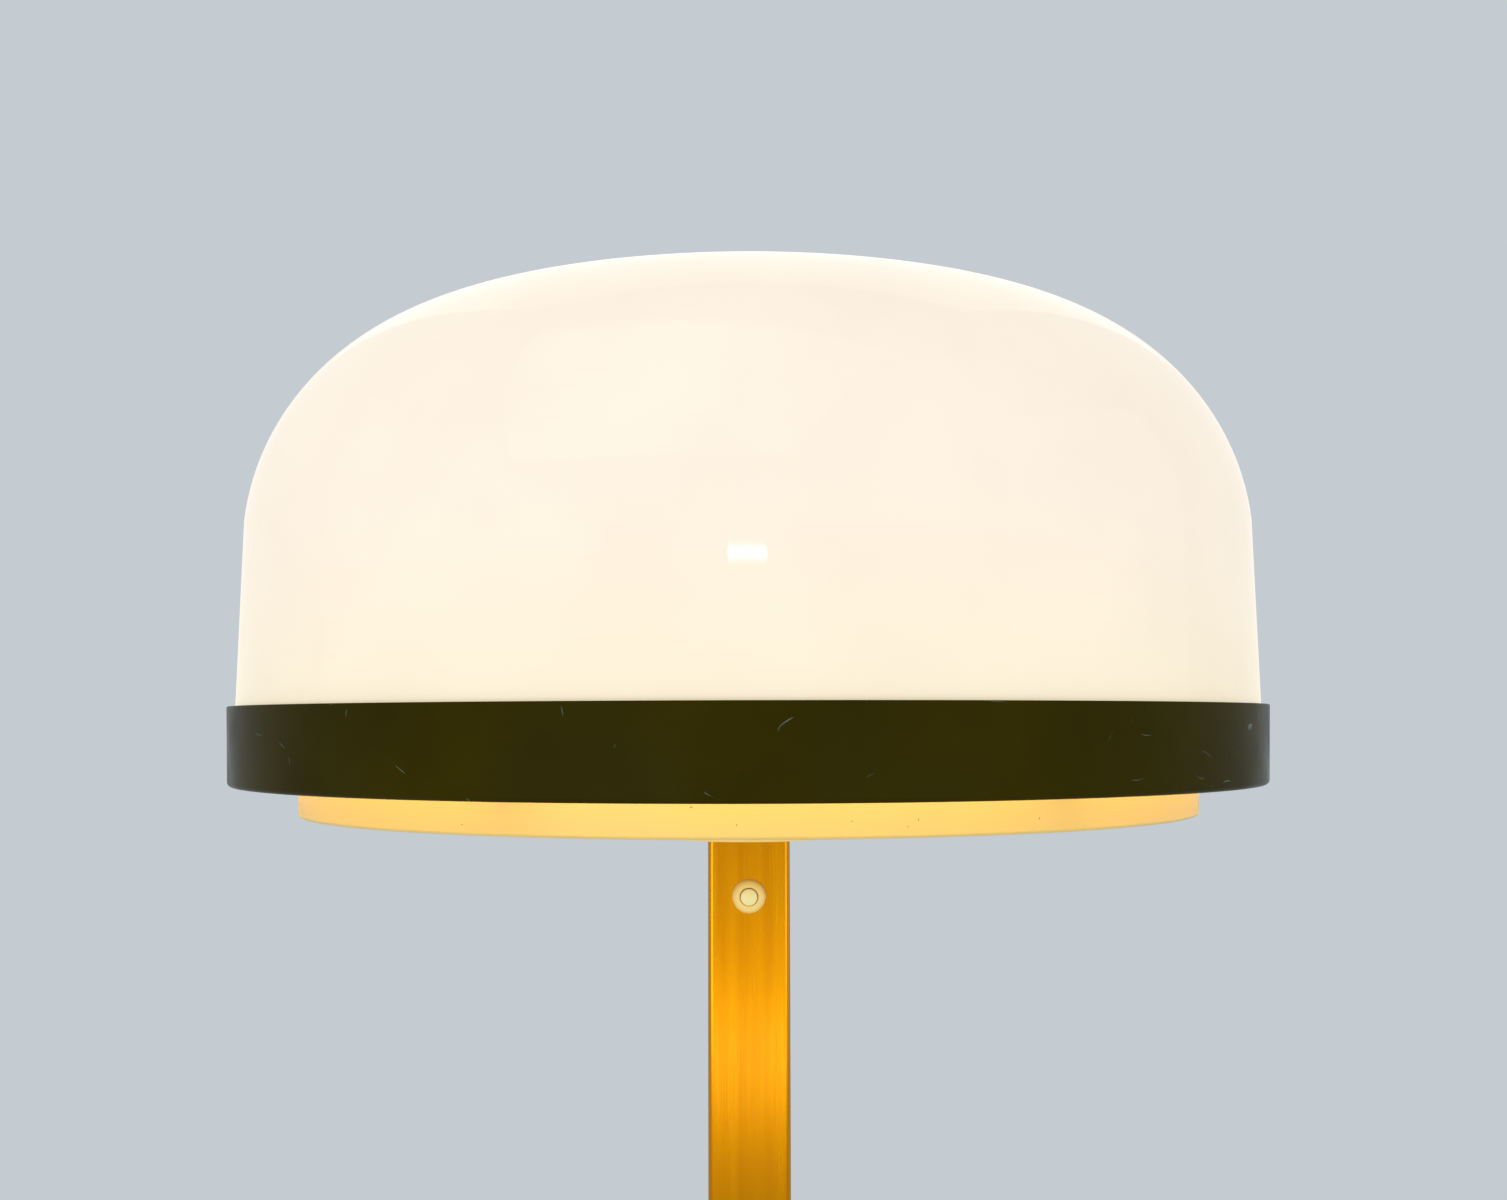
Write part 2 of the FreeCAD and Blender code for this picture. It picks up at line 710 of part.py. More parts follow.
rivet_inside = "dish_radius - dish_wall - rivet_play"
rivet_outside = "dish_radius + bracket_thickness"
seat(turned("bracket_rivets", [
    (rivet_inside + " - rivet_head_height", "0"),
    (rivet_outside + " + rivet_head_height", "0"),
    (rivet_outside + " + rivet_head_height", "rivet_radius"),
    (rivet_outside, "rivet_head_radius"),
    (rivet_outside, "rivet_radius"),
    (rivet_inside, "rivet_radius"),
    (rivet_inside, "rivet_head_radius"),
    (rivet_inside + " - rivet_head_height", "rivet_radius"),
], axis="H_Axis", count="bracket_count"), up="ring_level + rivet_level", turn="bracket_start_angle")

seat(turned("dome_rests", [
    ("bracket_reach - rest_length", "bracket_level"),
    ("bracket_reach", "bracket_level"),
    ("bracket_reach", "rest_level"),
    ("bracket_reach - rest_length", "rest_level"),
], sweep="rest_width / dish_radius * 180 / pi", count="bracket_count"),
     up="ring_level", turn="bracket_start_angle")


# Dome: upright side, shoulder arc and crown arc, measured from the top of the band.

dome = turned("dome_shade", [
    ("dome_foot_radius", "-dome_foot_drop"),
    ("side_top_radius", "side_top"),
    ("crown_radius * cos(crown_angle)", "crown_centre + crown_radius * sin(crown_angle)"),
    ("0", "dome_height"),
    ("0", "dome_height - dome_wall"),
    ("(crown_radius - dome_wall) * cos(crown_angle)",
     "crown_centre + (crown_radius - dome_wall) * sin(crown_angle)"),
    ("shoulder_centre_radius + (shoulder_radius - dome_wall) * cos(shoulder_start_angle)",
     "shoulder_centre + (shoulder_radius - dome_wall) * sin(shoulder_start_angle)"),
    ("dome_foot_radius - dome_wall", "-dome_foot_drop"),
], bends={1: "shoulder_radius", 2: "crown_radius",
          4: "-(crown_radius - dome_wall)", 5: "-(shoulder_radius - dome_wall)"})
seat(dome, up="ring_level + ring_height")


# Carrier with three arms, and the terminal block at its front.

LAMP_SIDES = ("rear", "left", "right")
LAMP_COUNT = str(len(LAMP_SIDES))
half_arm = "carrier_arm_width / 2"
carrier = new_body("lamp_carrier")
pad(carrier, "XY_Plane", "carrier_thickness", circles=[("0", "0", "carrier_radius")])
arm = pad(carrier, "XY_Plane", "carrier_thickness", corners=[
    ("-(%s)" % half_arm, "0"),
    (half_arm, "0"),
    (half_arm, "carrier_reach"),
    ("-(%s)" % half_arm, "carrier_reach"),
])
repeat(carrier, [arm], LAMP_COUNT)
rounded(carrier, "carrier_corner_radius", upright_edge_beyond("carrier_radius + holder_radius"))
cut(carrier, "XY_Plane", "carrier_thickness", circle=("0", "0", clamp_hole), reverse=True)
cut(carrier, "XY_Plane", "carrier_thickness", reverse=True, count=LAMP_COUNT,
    circle=("0", "lamp_circle_radius", "holder_nipple_radius + thread_play"))
block_screw_hole = "block_screw_radius + thread_play"
block_screw_places = [("block_screw_spacing / 2", "-block_offset"),
                      ("-block_screw_spacing / 2", "-block_offset")]
for place in block_screw_places:
    cut(carrier, "XY_Plane", "carrier_thickness", circle=(*place, block_screw_hole), reverse=True)
seat(carrier, up="spacer_top")

block = extruded("terminal_block", rectangle("block_width / 2", "block_depth / 2", "-block_offset"),
                 "block_height", [(*place, block_screw_hole) for place in block_screw_places])
rounded(block, "block_edge_radius", upright_edge)
seat(block, up="carrier_top")
block_screws = new_body("terminal_screws")
for place in block_screw_places:
    pad(block_screws, "XY_Plane", "block_screw_head_height",
        circles=[(*place, "block_screw_head_radius")])
    pad(block_screws, "XY_Plane", "block_height + carrier_thickness",
        circles=[(*place, "block_screw_radius")], reverse=True)
seat(block_screws, up="block_top")


# Three lampholders on the arms, each with its thread shell, contact and bulb.

lamp_nipples = new_body("lampholder_nipples")
nipple_middle = ("0", "lamp_circle_radius")
lamp_nipple = pad(lamp_nipples, "XY_Plane", "holder_nipple_length",
                  circles=[(*nipple_middle, "holder_nipple_radius"),
                           (*nipple_middle, "holder_nipple_bore_radius")])
repeat(lamp_nipples, [lamp_nipple], LAMP_COUNT)
seat(lamp_nipples, up="carrier_top + holder_nipple_grip - holder_nipple_length")

lamp_nuts = new_body("lampholder_nuts")
lamp_nut = pad(lamp_nuts, "XY_Plane", "holder_nut_height",
               corners=hexagon("holder_nut_flats", "lamp_circle_radius"),
               circles=[(*nipple_middle, "holder_nipple_radius + thread_play")])
repeat(lamp_nuts, [lamp_nut], LAMP_COUNT)
seat(lamp_nuts, up="spacer_top - holder_nut_height")


def lampholder(name):
    """Moulded lampholder, open at the top, with a recess for its nipple below."""
    holder = turned(name, [
        ("holder_nipple_radius + thread_play", "0"),
        ("holder_radius", "0"),
        ("holder_radius", "holder_height"),
        ("holder_bore_radius", "holder_height"),
        ("holder_bore_radius", "holder_floor"),
        ("0", "holder_floor"),
        ("0", "holder_nipple_grip"),
        ("holder_nipple_radius + thread_play", "holder_nipple_grip"),
    ])
    return rounded(holder, "holder_edge_radius", ring_edge("holder_radius", "holder_height"))


def thread_shell(name):
    """Thin metal sleeve that the bulb screws into."""
    return washer(name, "shell_outer_radius", "shell_outer_radius - shell_wall", "shell_height")


def centre_contact(name):
    """Contact in the floor of the lampholder."""
    return turned(name, [
        ("0", "0"),
        ("contact_radius", "0"),
        ("contact_radius", "contact_height"),
        ("0", "contact_height"),
    ])


def bulb_cap(name):
    """Screw cap of the bulb, narrowed to its end contact."""
    return turned(name, [
        ("0", "0"),
        ("cap_tip_radius", "0"),
        ("cap_radius", "cap_tip_height"),
        ("cap_radius", "cap_height"),
        ("0", "cap_height"),
    ])


def bulb_glass(name):
    """Glass of the bulb: a straight neck that runs into a ball."""
    inner = "(glass_radius - glass_wall)"
    return turned(name, [
        ("glass_neck_radius", "0"),
        ("glass_radius * cos(glass_touch_angle)",
         "glass_centre + glass_radius * sin(glass_touch_angle)"),
        ("0", "glass_height"),
        ("0", "glass_height - glass_wall"),
        (inner + " * cos(glass_touch_angle)",
         "glass_centre + %s * sin(glass_touch_angle)" % inner),
        ("glass_neck_radius - glass_wall", "0"),
    ], bends={1: "glass_radius", 3: "-" + inner})


LAMP_PIECES = (
    (lampholder, "lampholder", "carrier_top"),
    (thread_shell, "thread_shell", "carrier_top + holder_floor"),
    (centre_contact, "centre_contact", "carrier_top + holder_floor"),
    (bulb_cap, "bulb_cap", "cap_level"),
    (bulb_glass, "bulb_glass", "glass_level"),
)


def lamp_angle(number):
    """Direction of a lamp from the middle, the first one at the rear."""
    return "(90 + %d * 360 / %s)" % (number, LAMP_COUNT)


for number, side in enumerate(LAMP_SIDES):
    for make, kind, level in LAMP_PIECES:
        seat(make("%s_%s" % (kind, side)), up=level,
             across="lamp_circle_radius * cos%s" % lamp_angle(number),
             deep="lamp_circle_radius * sin%s" % lamp_angle(number))


# Leads inside the lamp: from the switch up through the tube, and from the block to each lamp.

def rounded_route(points, share):
    """Straight runs joined by arcs; each arc is a share of its shorter run long on each side."""
    edges = []
    start = points[0]
    for before, corner, after in zip(points, points[1:], points[2:]):
        inward, outward = before - corner, after - corner
        reach = share * min(inward.Length, outward.Length)
        bend_start = corner + inward.normalize() * reach
        bend_end = corner + outward.normalize() * reach
        half = inward.getAngle(outward) / 2
        to_centre = (inward + outward).normalize()
        middle = corner + to_centre * reach * (1 - math.sin(half)) / math.cos(half)
        edges.append(Part.LineSegment(start, bend_start).toShape())
        edges.append(Part.Arc(bend_start, middle, bend_end).toShape())
        start = bend_end
        print("bend radius %.1f" % (reach * math.tan(half)))
    edges.append(Part.LineSegment(start, points[-1]).toShape())
    return Part.Wire(edges)


def lead(name, places):
    """A flexible lead along a route of named places."""
    points = [FreeCAD.Vector(*[value(text) for text in place]) for place in places]
    route = rounded_route(points, value("lead_bend_share"))
    section = Part.Wire(Part.makeCircle(value("lead_radius"), points[0], points[1] - points[0]))
    tube = route.makePipeShell([section], True, False)
    expected = math.pi * value("lead_radius") ** 2 * route.Length
    print("%s: length %.1f, volume against section times length %.4f"
          % (name, route.Length, tube.Volume / expected))
    return new_shape(name, tube)


lead("switch_lead", [
    ("0", "0", "switch_level + switch_body_radius"),
    ("0", "0", "nipple_top + lead_rise"),
    ("0", "-block_offset", "nipple_top + lead_rise"),
    ("0", "-block_offset", "block_top"),
])
lead("lamp_lead_rear", [
    ("block_width / 3", "-block_offset + block_depth / 2", "lead_level"),
    ("block_width / 3", "-block_offset + block_depth / 2 + lead_run", "lead_level"),
    ("lead_pass", "0", "lead_rest"),
    ("lead_pass / 2", "(lamp_circle_radius - holder_radius) * 2 / 5", "lead_rest"),
    ("0", "lamp_circle_radius - holder_radius - 3 / 2 * lead_run", "lead_level"),
    ("0", "lamp_circle_radius - holder_radius", "lead_level"),
])
for side, sign in (("left", -1), ("right", 1)):
    near = "block_width / 2"
    far = "(side_lamp_reach - holder_radius)"
    lead("lamp_lead_" + side, [
        ("%d * %s" % (sign, near), "-block_offset", "lead_level"),
        ("%d * (%s + lead_run)" % (sign, near), "-block_offset", "lead_level"),
        ("%d * (%s + %s) / 2" % (sign, near, far), "-(block_offset + side_lamp_depth) / 2",
         "lead_level + lead_slack"),
        ("%d * (%s - lead_run)" % (sign, far), "-side_lamp_depth", "lead_level"),
        ("%d * %s" % (sign, far), "-side_lamp_depth", "lead_level"),
    ])


# Check every object and piece, then write one file for each piece.

doc.recompute()
for thing in doc.Objects:
    faults = {"Invalid", "Error"} & set(thing.State)
    if faults:
        raise RuntimeError("%s did not build: %s" % (thing.Label, thing.State))
for piece in pieces:
    if piece.Shape.isNull() or not piece.Shape.isValid():
        raise RuntimeError("%s has no sound shape" % piece.Label)

os.makedirs("parts", exist_ok=True)
for piece in pieces:
    piece.Shape.exportStep("parts/%s.step" % piece.Label)
    print("%-22s solids %d  volume %.0f" % (piece.Label, len(piece.Shape.Solids),
                                            piece.Shape.Volume))
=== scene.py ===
import math
import bmesh
import bpy
from mathutils import Matrix, Vector


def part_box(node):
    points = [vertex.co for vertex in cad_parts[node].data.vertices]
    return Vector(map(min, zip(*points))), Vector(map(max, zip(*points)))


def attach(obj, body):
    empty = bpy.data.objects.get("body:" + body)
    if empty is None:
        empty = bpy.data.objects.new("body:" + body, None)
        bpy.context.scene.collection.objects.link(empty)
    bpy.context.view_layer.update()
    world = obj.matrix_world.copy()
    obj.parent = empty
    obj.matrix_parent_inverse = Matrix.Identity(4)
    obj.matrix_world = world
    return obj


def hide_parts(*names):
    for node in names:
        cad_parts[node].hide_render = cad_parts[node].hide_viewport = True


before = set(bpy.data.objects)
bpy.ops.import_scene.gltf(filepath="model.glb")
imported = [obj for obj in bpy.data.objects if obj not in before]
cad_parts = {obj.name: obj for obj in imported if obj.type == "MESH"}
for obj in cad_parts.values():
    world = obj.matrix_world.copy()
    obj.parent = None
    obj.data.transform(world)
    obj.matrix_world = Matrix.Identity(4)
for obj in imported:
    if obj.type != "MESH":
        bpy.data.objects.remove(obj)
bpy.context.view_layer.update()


# Viewpoint: close to the head of the lamp, level with its dark band and tipped up a little.
# Lengths are in millimetres and angles in degrees, here and in the sections of the pieces.

MM = 0.001
CAMERA_DISTANCE = 820
CAMERA_SIDE = 2.4
CAMERA_OVER_BAND = 28.4
CAMERA_TIP = 3.4475
CAMERA_LEAN = 0.1375
LENS = 38.895
SHIFT = 0.0164

camera = bpy.data.objects.new("camera", bpy.data.cameras.new("camera"))
bpy.context.scene.collection.objects.link(camera)
camera.location = (CAMERA_SIDE * MM, -CAMERA_DISTANCE * MM,
                   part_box("ring_band")[0].z + CAMERA_OVER_BAND * MM)
camera.rotation_euler = (math.radians(90 + CAMERA_TIP), math.radians(CAMERA_LEAN), 0)
camera.data.lens = LENS
camera.data.shift_y = SHIFT
bpy.context.scene.camera = camera
bpy.context.scene.view_settings.view_transform = "Standard"


# Studio: a pale matt floor, a pale backdrop, and large soft lamps above, behind and at both sides.
# Two small ones in front light the stem and the dish, a low one is mirrored in the stem, and a
# strip in the dome. The level is plain, so that a colour comes out about as it is written.

FLOOR_RADIUS = 2600
FLOOR_SIDES = 128
SHARP_FROM = 35
BACKDROP_FILL = 1.4

# Every soft lamp faces the foot of the head. It has its place, its width and height, all in
# metres, and its power in watts.
HEAD_FOOT = Vector((0, 0, 1.1))
SOFT_LAMPS = {
    "lamp_above": ((-0.6, -1.6, 3.2), 3, 3, 12),
    "lamp_left": ((-2.9, -0.9, 1.6), 2.8, 2.8, 3),
    "lamp_right": ((2.9, -0.6, 1.7), 2.8, 2.8, 5),
    "lamp_behind": ((0, 2, 3.4), 3, 2.8, 6),
    "lamp_front_left": ((-0.65, -1.2, 0.86), 0.9, 0.35, 2.7),
    "lamp_front_right": ((0.65, -1.2, 0.86), 0.9, 0.35, 1.7),
    "lamp_low": ((0, -2.2, 0.53), 1.2, 0.13, 1.6),
    "lamp_strip": ((0, -1.72, 1.444), 0.213, 0.014, 0.12),
}


def linear(text):
    """Linear colour, fully opaque, of an sRGB hex value."""
    parts = [int(text[place:place + 2], 16) / 255 for place in (0, 2, 4)]
    return [part / 12.92 if part <= 0.04045 else ((part + 0.055) / 1.055) ** 2.4
            for part in parts] + [1]


def add(tree, kind, inputs=None, output=None, **settings):
    """Add a node with its settings and links; gives the output that the next node reads."""
    node = tree.nodes.new("ShaderNode" + kind)
    for name, setting in settings.items():
        setattr(node, name, setting)
    for name, value in (inputs or {}).items():
        sockets = [node.inputs[name]] if isinstance(name, int) else [
            socket for socket in node.inputs if socket.enabled and socket.name == name]
        if isinstance(value, bpy.types.NodeSocket):
            tree.links.new(value, sockets[0])
        else:
            sockets[0].default_value = value
    outputs = [socket for socket in node.outputs
               if socket.enabled and output in (None, socket.name)]
    return outputs[0] if outputs else node


def finish(build):
    """Make the material of a finish from the function that builds its surface."""
    material = bpy.data.materials.new(build.__name__)
    material.use_nodes = True
    material.node_tree.nodes.clear()
    add(material.node_tree, "OutputMaterial", {"Surface": build(material.node_tree)})
    return material


def piece(name, mesh, *materials):
    """Make an object from a bmesh: smooth, with sharp edges kept, and at the origin."""
    for face in mesh.faces:
        face.smooth = True
    data = bpy.data.meshes.new(name)
    mesh.to_mesh(data)
    mesh.free()
    data.set_sharp_from_angle(angle=math.radians(SHARP_FROM))
    for material in materials:
        data.materials.append(material)
    made = bpy.data.objects.new(name, data)
    bpy.context.scene.collection.objects.link(made)
    made.modifiers.new("even_shading", "WEIGHTED_NORMAL").keep_sharp = True
    return made


# Painted board: pale grey, even and matt.
@finish
def pale_floor(tree):
    return add(tree, "BsdfPrincipled", {"Base Color": linear("d9dad9"), "Roughness": 0.9})


floor_mesh = bmesh.new()
bmesh.ops.create_circle(floor_mesh, cap_ends=True, segments=FLOOR_SIDES, radius=FLOOR_RADIUS * MM)
piece("floor", floor_mesh, pale_floor)

# The backdrop is seen and mirrored as it is, and lights matt surfaces a little more strongly.
world = bpy.data.worlds.new("pale_backdrop")
world.use_nodes = True
world.node_tree.nodes["Background"].inputs["Color"].default_value = linear("c4ccd1")
path = add(world.node_tree, "LightPath", output="Is Diffuse Ray")
level = add(world.node_tree, "MapRange", {"Value": path, "To Min": 1, "To Max": BACKDROP_FILL})
world.node_tree.links.new(level, world.node_tree.nodes["Background"].inputs["Strength"])
bpy.context.scene.world = world

for name, (place, width, height, power) in SOFT_LAMPS.items():
    lamp = bpy.data.objects.new(name, bpy.data.lights.new(name, "AREA"))
    lamp.data.shape = "RECTANGLE"
    lamp.data.energy = power
    lamp.data.size = width
    lamp.data.size_y = height
    lamp.location = place
    lamp.visible_camera = False
    lamp.rotation_euler = (HEAD_FOOT - Vector(place)).to_track_quat("-Z", "Y").to_euler()
    bpy.context.scene.collection.objects.link(lamp)


# Base: a pressed steel cover, lacquered like the band, over an iron disc that keeps the lamp
# upright. Four screws hold the steel plate that closes it from below, a ring of felt lies under
# the plate's edge, and a rubber grommet lines the hole for the cord at the back.

BASE_WALL = 1.5
BASE_EDGE = 5
BASE_LIP = 0.5
BOLT_HOLE = 5.1
GROMMET_BORE = 3.75
GROMMET_NECK = 5.4
GROMMET_LIP = 1.2
GROMMET_EDGE = 0.5
SCREW_HEAD = 4
SCREW_HEAD_HEIGHT = 1.6
SCREW_HEAD_EDGE = 1
SCREW_SHANK = 2
SCREW_TIP_EDGE = 0.5
CROSS = 0.4
CROSS_REACH = 2.2
CROSS_DEPTH = 1
CROSS_EASE = 0.05
CROSS_TURNS = (10, 52, 71, 35)

# A round shape is drawn in so many steps, and a rounded corner or an eased rim in a few. Edges
# that turn by more than RIM_FROM are rims, and points closer than MERGE_WITHIN become one.
ROUND_STEPS = 192
GROMMET_STEPS = 64
GROMMET_HOLE_STEPS = 48
SCREW_STEPS = 32
CORNER_STEPS = 6
RIM_STEPS = 2
RIM_FROM = 60
MERGE_WITHIN = 0.01


def cells(size):
    """Scale of a texture whose cells measure so many millimetres."""
    return 1 / (size * MM)


# Stoving lacquer on steel, black with an olive cast: its gloss has worn to a faint sheen over a
# slight orange peel from the spray gun, and short curved scuffs follow the middle level of a
# noise here and there.
@finish
def dark_lacquer(tree):
    place = add(tree, "TexCoord", output="Object")
    cloud = add(tree, "TexNoise", {"Vector": place, "Scale": cells(70), "Detail": 3})
    cloud = add(tree, "MapRange", {"Value": cloud, "From Min": 0.35, "From Max": 0.65})
    colour = add(tree, "Mix", {
        "Factor": cloud, "A": linear("2a2400"), "B": linear("312a00")}, data_type="RGBA")
    level = add(tree, "Mapping", {"Vector": place, "Scale": (1 / 2, 1 / 2, 1)})
    level = add(tree, "TexNoise", {"Vector": level, "Scale": cells(11), "Detail": 0})
    off_middle = add(tree, "Math", {0: level, 1: 0.5}, operation="SUBTRACT")
    off_middle = add(tree, "Math", {0: off_middle}, operation="ABSOLUTE")
    thin = add(tree, "MapRange", {"Value": off_middle, "From Min": 0.008, "From Max": 0.002})
    short = add(tree, "Mapping", {"Vector": place, "Scale": (1 / 1.6, 1 / 1.6, 1)})
    short = add(tree, "TexNoise", {"Vector": short, "Scale": cells(8), "Detail": 1})
    short = add(tree, "MapRange", {"Value": short, "From Min": 0.64, "From Max": 0.74})
    scuff = add(tree, "Math", {0: thin, 1: short}, operation="MULTIPLY")
    colour = add(tree, "Mix", {
        "Factor": scuff, "A": colour, "B": linear("68786c")}, data_type="RGBA")
    wear = add(tree, "TexNoise", {"Vector": place, "Scale": cells(25), "Detail": 4})
    rough = add(tree, "MapRange", {"Value": wear, "From Min": 0.3, "From Max": 0.7,
                                   "To Min": 0.2, "To Max": 0.3})
    peel = add(tree, "TexNoise", {"Vector": place, "Scale": cells(1.6), "Detail": 1})
    return add(tree, "BsdfPrincipled", {
        "Base Color": colour, "Roughness": rough, "Specular IOR Level": 0.02,
        "Normal": add(tree, "Bump", {"Height": peel, "Distance": 0.02 * MM})})


# Wool felt, cut from a dyed sheet: matt, with short loose fibres, drawn coarser than real ones.
@finish
def wool_felt(tree):
    place = add(tree, "TexCoord", output="Object")
    fibre = add(tree, "TexNoise", {"Vector": place, "Scale": cells(1), "Detail": 6})
    colour = add(tree, "Mix", {
        "Factor": fibre, "A": linear("191817"), "B": linear("3f3c39")}, data_type="RGBA")
    return add(tree, "BsdfPrincipled", {
        "Base Color": colour, "Roughness": 0.95, "Sheen Weight": 0.3,
        "Normal": add(tree, "Bump", {"Height": fibre, "Distance": 0.4 * MM})})


# Sand-cast iron, brushed clean: grey-brown, with a coarse skin and a trace of rust.
@finish
def cast_iron(tree):
    place = add(tree, "TexCoord", output="Object")
    rust = add(tree, "TexNoise", {"Vector": place, "Scale": cells(40), "Detail": 3})
    rust = add(tree, "MapRange", {"Value": rust, "From Min": 0.5, "From Max": 0.7})
    colour = add(tree, "Mix", {
        "Factor": rust, "A": linear("3c3a38"), "B": linear("54402f")}, data_type="RGBA")
    grain = add(tree, "TexNoise", {"Vector": place, "Scale": cells(1.5), "Detail": 5})
    rough = add(tree, "MapRange", {"Value": grain, "From Min": 0.3, "From Max": 0.7,
                                   "To Min": 0.5, "To Max": 0.75})
    return add(tree, "BsdfPrincipled", {
        "Base Color": colour, "Metallic": 0.7, "Roughness": rough,
        "Normal": add(tree, "Bump", {"Height": grain, "Distance": 0.3 * MM})})


# Zinc-plated steel: bright grey with a slight blue, mottled by the plating's crystals, which are
# drawn coarser than real ones.
@finish
def zinc_plate(tree):
    place = add(tree, "TexCoord", output="Object")
    crystal = add(tree, "TexNoise", {"Vector": place, "Scale": cells(3), "Detail": 3})
    colour = add(tree, "Mix", {
        "Factor": crystal, "A": linear("a3a8ac"), "B": linear("c8ccce")}, data_type="RGBA")
    rough = add(tree, "MapRange", {"Value": crystal, "From Min": 0.3, "From Max": 0.7,
                                   "To Min": 0.28, "To Max": 0.42})
    return add(tree, "BsdfPrincipled", {"Base Color": colour, "Metallic": 1, "Roughness": rough})


# Black rubber, moulded: dull, with a light bloom on it.
@finish
def black_rubber(tree):
    place = add(tree, "TexCoord", output="Object")
    bloom = add(tree, "TexNoise", {"Vector": place, "Scale": cells(6), "Detail": 4})
    colour = add(tree, "Mix", {
        "Factor": bloom, "A": linear("161616"), "B": linear("262625")}, data_type="RGBA")
    grain = add(tree, "TexNoise", {"Vector": place, "Scale": cells(0.6)})
    return add(tree, "BsdfPrincipled", {
        "Base Color": colour, "Roughness": 0.72,
        "Normal": add(tree, "Bump", {"Height": grain, "Distance": 0.02 * MM})})


def dress(material, *nodes):
    """Give CAD nodes that stay in sight a better material."""
    for node in nodes:
        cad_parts[node].active_material = material


def fit(made, body, slot, *nodes):
    """Let a piece ride on its body and stand for CAD nodes. Its slot is not used."""
    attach(made, body)
    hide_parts(*nodes)


def trace(outline, open_axis=False):
    """Draw a closed outline of (across, up) in millimetres. A third number rounds that corner,
    and with an open axis no side is drawn along it."""
    mesh = bmesh.new()
    corners = [mesh.verts.new((point[0] * MM, 0, point[1] * MM)) for point in outline]
    for start, end in zip(corners, corners[1:] + corners[:1]):
        if start.co.x or end.co.x or not open_axis:
            mesh.edges.new((start, end))
    for corner, point in zip(corners, outline):
        if len(point) == 3:
            bmesh.ops.bevel(mesh, geom=[corner], offset=point[2] * MM, segments=CORNER_STEPS,
                            profile=0.5, affect="VERTICES", material=-1)
    return mesh


def spun(outline, steps=ROUND_STEPS):
    """Spin an outline of (radius, height) once round the upright axis."""
    mesh = trace(outline, open_axis=True)
    bmesh.ops.spin(mesh, geom=mesh.verts[:] + mesh.edges[:], cent=(0, 0, 0), axis=(0, 0, 1),
                   angle=math.tau, steps=steps, use_merge=True)
    bmesh.ops.remove_doubles(mesh, verts=mesh.verts, dist=MERGE_WITHIN * MM)
    bmesh.ops.recalc_face_normals(mesh, faces=mesh.faces)
    return mesh


def extruded(outline, width, ease):
    """Make an outline so many millimetres thick, half to each side, with its rims eased."""
    mesh = trace(outline)
    face = bmesh.ops.contextual_create(mesh, geom=mesh.edges[:])["faces"]
    far = [part for part in bmesh.ops.extrude_face_region(mesh, geom=face)["geom"]
           if isinstance(part, bmesh.types.BMVert)]
    bmesh.ops.translate(mesh, verts=far, vec=(0, width * MM, 0))
    bmesh.ops.translate(mesh, verts=mesh.verts, vec=(0, -width * MM / 2, 0))
    bmesh.ops.recalc_face_normals(mesh, faces=mesh.faces)
    rims = [edge for edge in mesh.edges if edge.calc_face_angle(0) > math.radians(RIM_FROM)
            and edge.verts[0].co.y == edge.verts[1].co.y]
    bmesh.ops.bevel(mesh, geom=rims, offset=ease * MM, segments=RIM_STEPS, profile=0.5,
                    affect="EDGES", material=-1, clamp_overlap=True)
    return mesh


def gather(*parts):
    """Join (mesh, place) pairs into one mesh."""
    whole = bmesh.new()
    for part, place in parts:
        bmesh.ops.transform(part, matrix=place, verts=part.verts)
        data = bpy.data.meshes.new("part")
        part.to_mesh(data)
        part.free()
        whole.from_mesh(data)
        bpy.data.meshes.remove(data)
    return whole


def move(across=0, deep=0, up=0):
    """A shift of so many millimetres."""
    return Matrix.Translation((across * MM, deep * MM, up * MM))


def turn(degrees, axis="Z"):
    """A turn about one axis."""
    return Matrix.Rotation(math.radians(degrees), 4, axis)


def carve(made, mesh):
    """Cut the shape of a mesh out of a piece."""
    cutter = piece("cutter", mesh)
    cutter.modifiers.clear()
    punch = made.modifiers.new("cut", "BOOLEAN")
    punch.object = cutter
    made.modifiers.move(1, 0)
    graph = bpy.context.evaluated_depsgraph_get()
    cut = bpy.data.meshes.new_from_object(made.evaluated_get(graph))
    made.modifiers.clear()
    made.data = cut
    bpy.data.objects.remove(cutter)


def turned(name, outline, *materials, place=Matrix(), steps=ROUND_STEPS, shape=None):
    """Make a piece by spinning an outline, then place it."""
    mesh = spun(outline, steps)
    if shape:
        shape(mesh)
    return piece(name, gather((mesh, place)), *materials)


def levels(node):
    """Lowest and highest level of a CAD node, in millimetres."""
    return [corner.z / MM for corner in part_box(node)]


def reach(node):
    """Half the width of a CAD node, in millimetres."""
    low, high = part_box(node)
    return (high.x - low.x) / 2 / MM


dress(wool_felt, "base_pad")
dress(cast_iron, "base_weight")
dress(zinc_plate, "base_plate")

base_radius = reach("base_cover")
base_foot, base_top = levels("base_cover")
base_cover = turned("base_shell", [
    (base_radius - BASE_WALL, base_foot, BASE_LIP),
    (base_radius, base_foot, BASE_LIP),
    (base_radius, base_top, BASE_EDGE),
    (BOLT_HOLE, base_top),
    (BOLT_HOLE, base_top - BASE_WALL),
    (base_radius - BASE_WALL, base_top - BASE_WALL, BASE_EDGE - BASE_WALL),
], dark_lacquer)

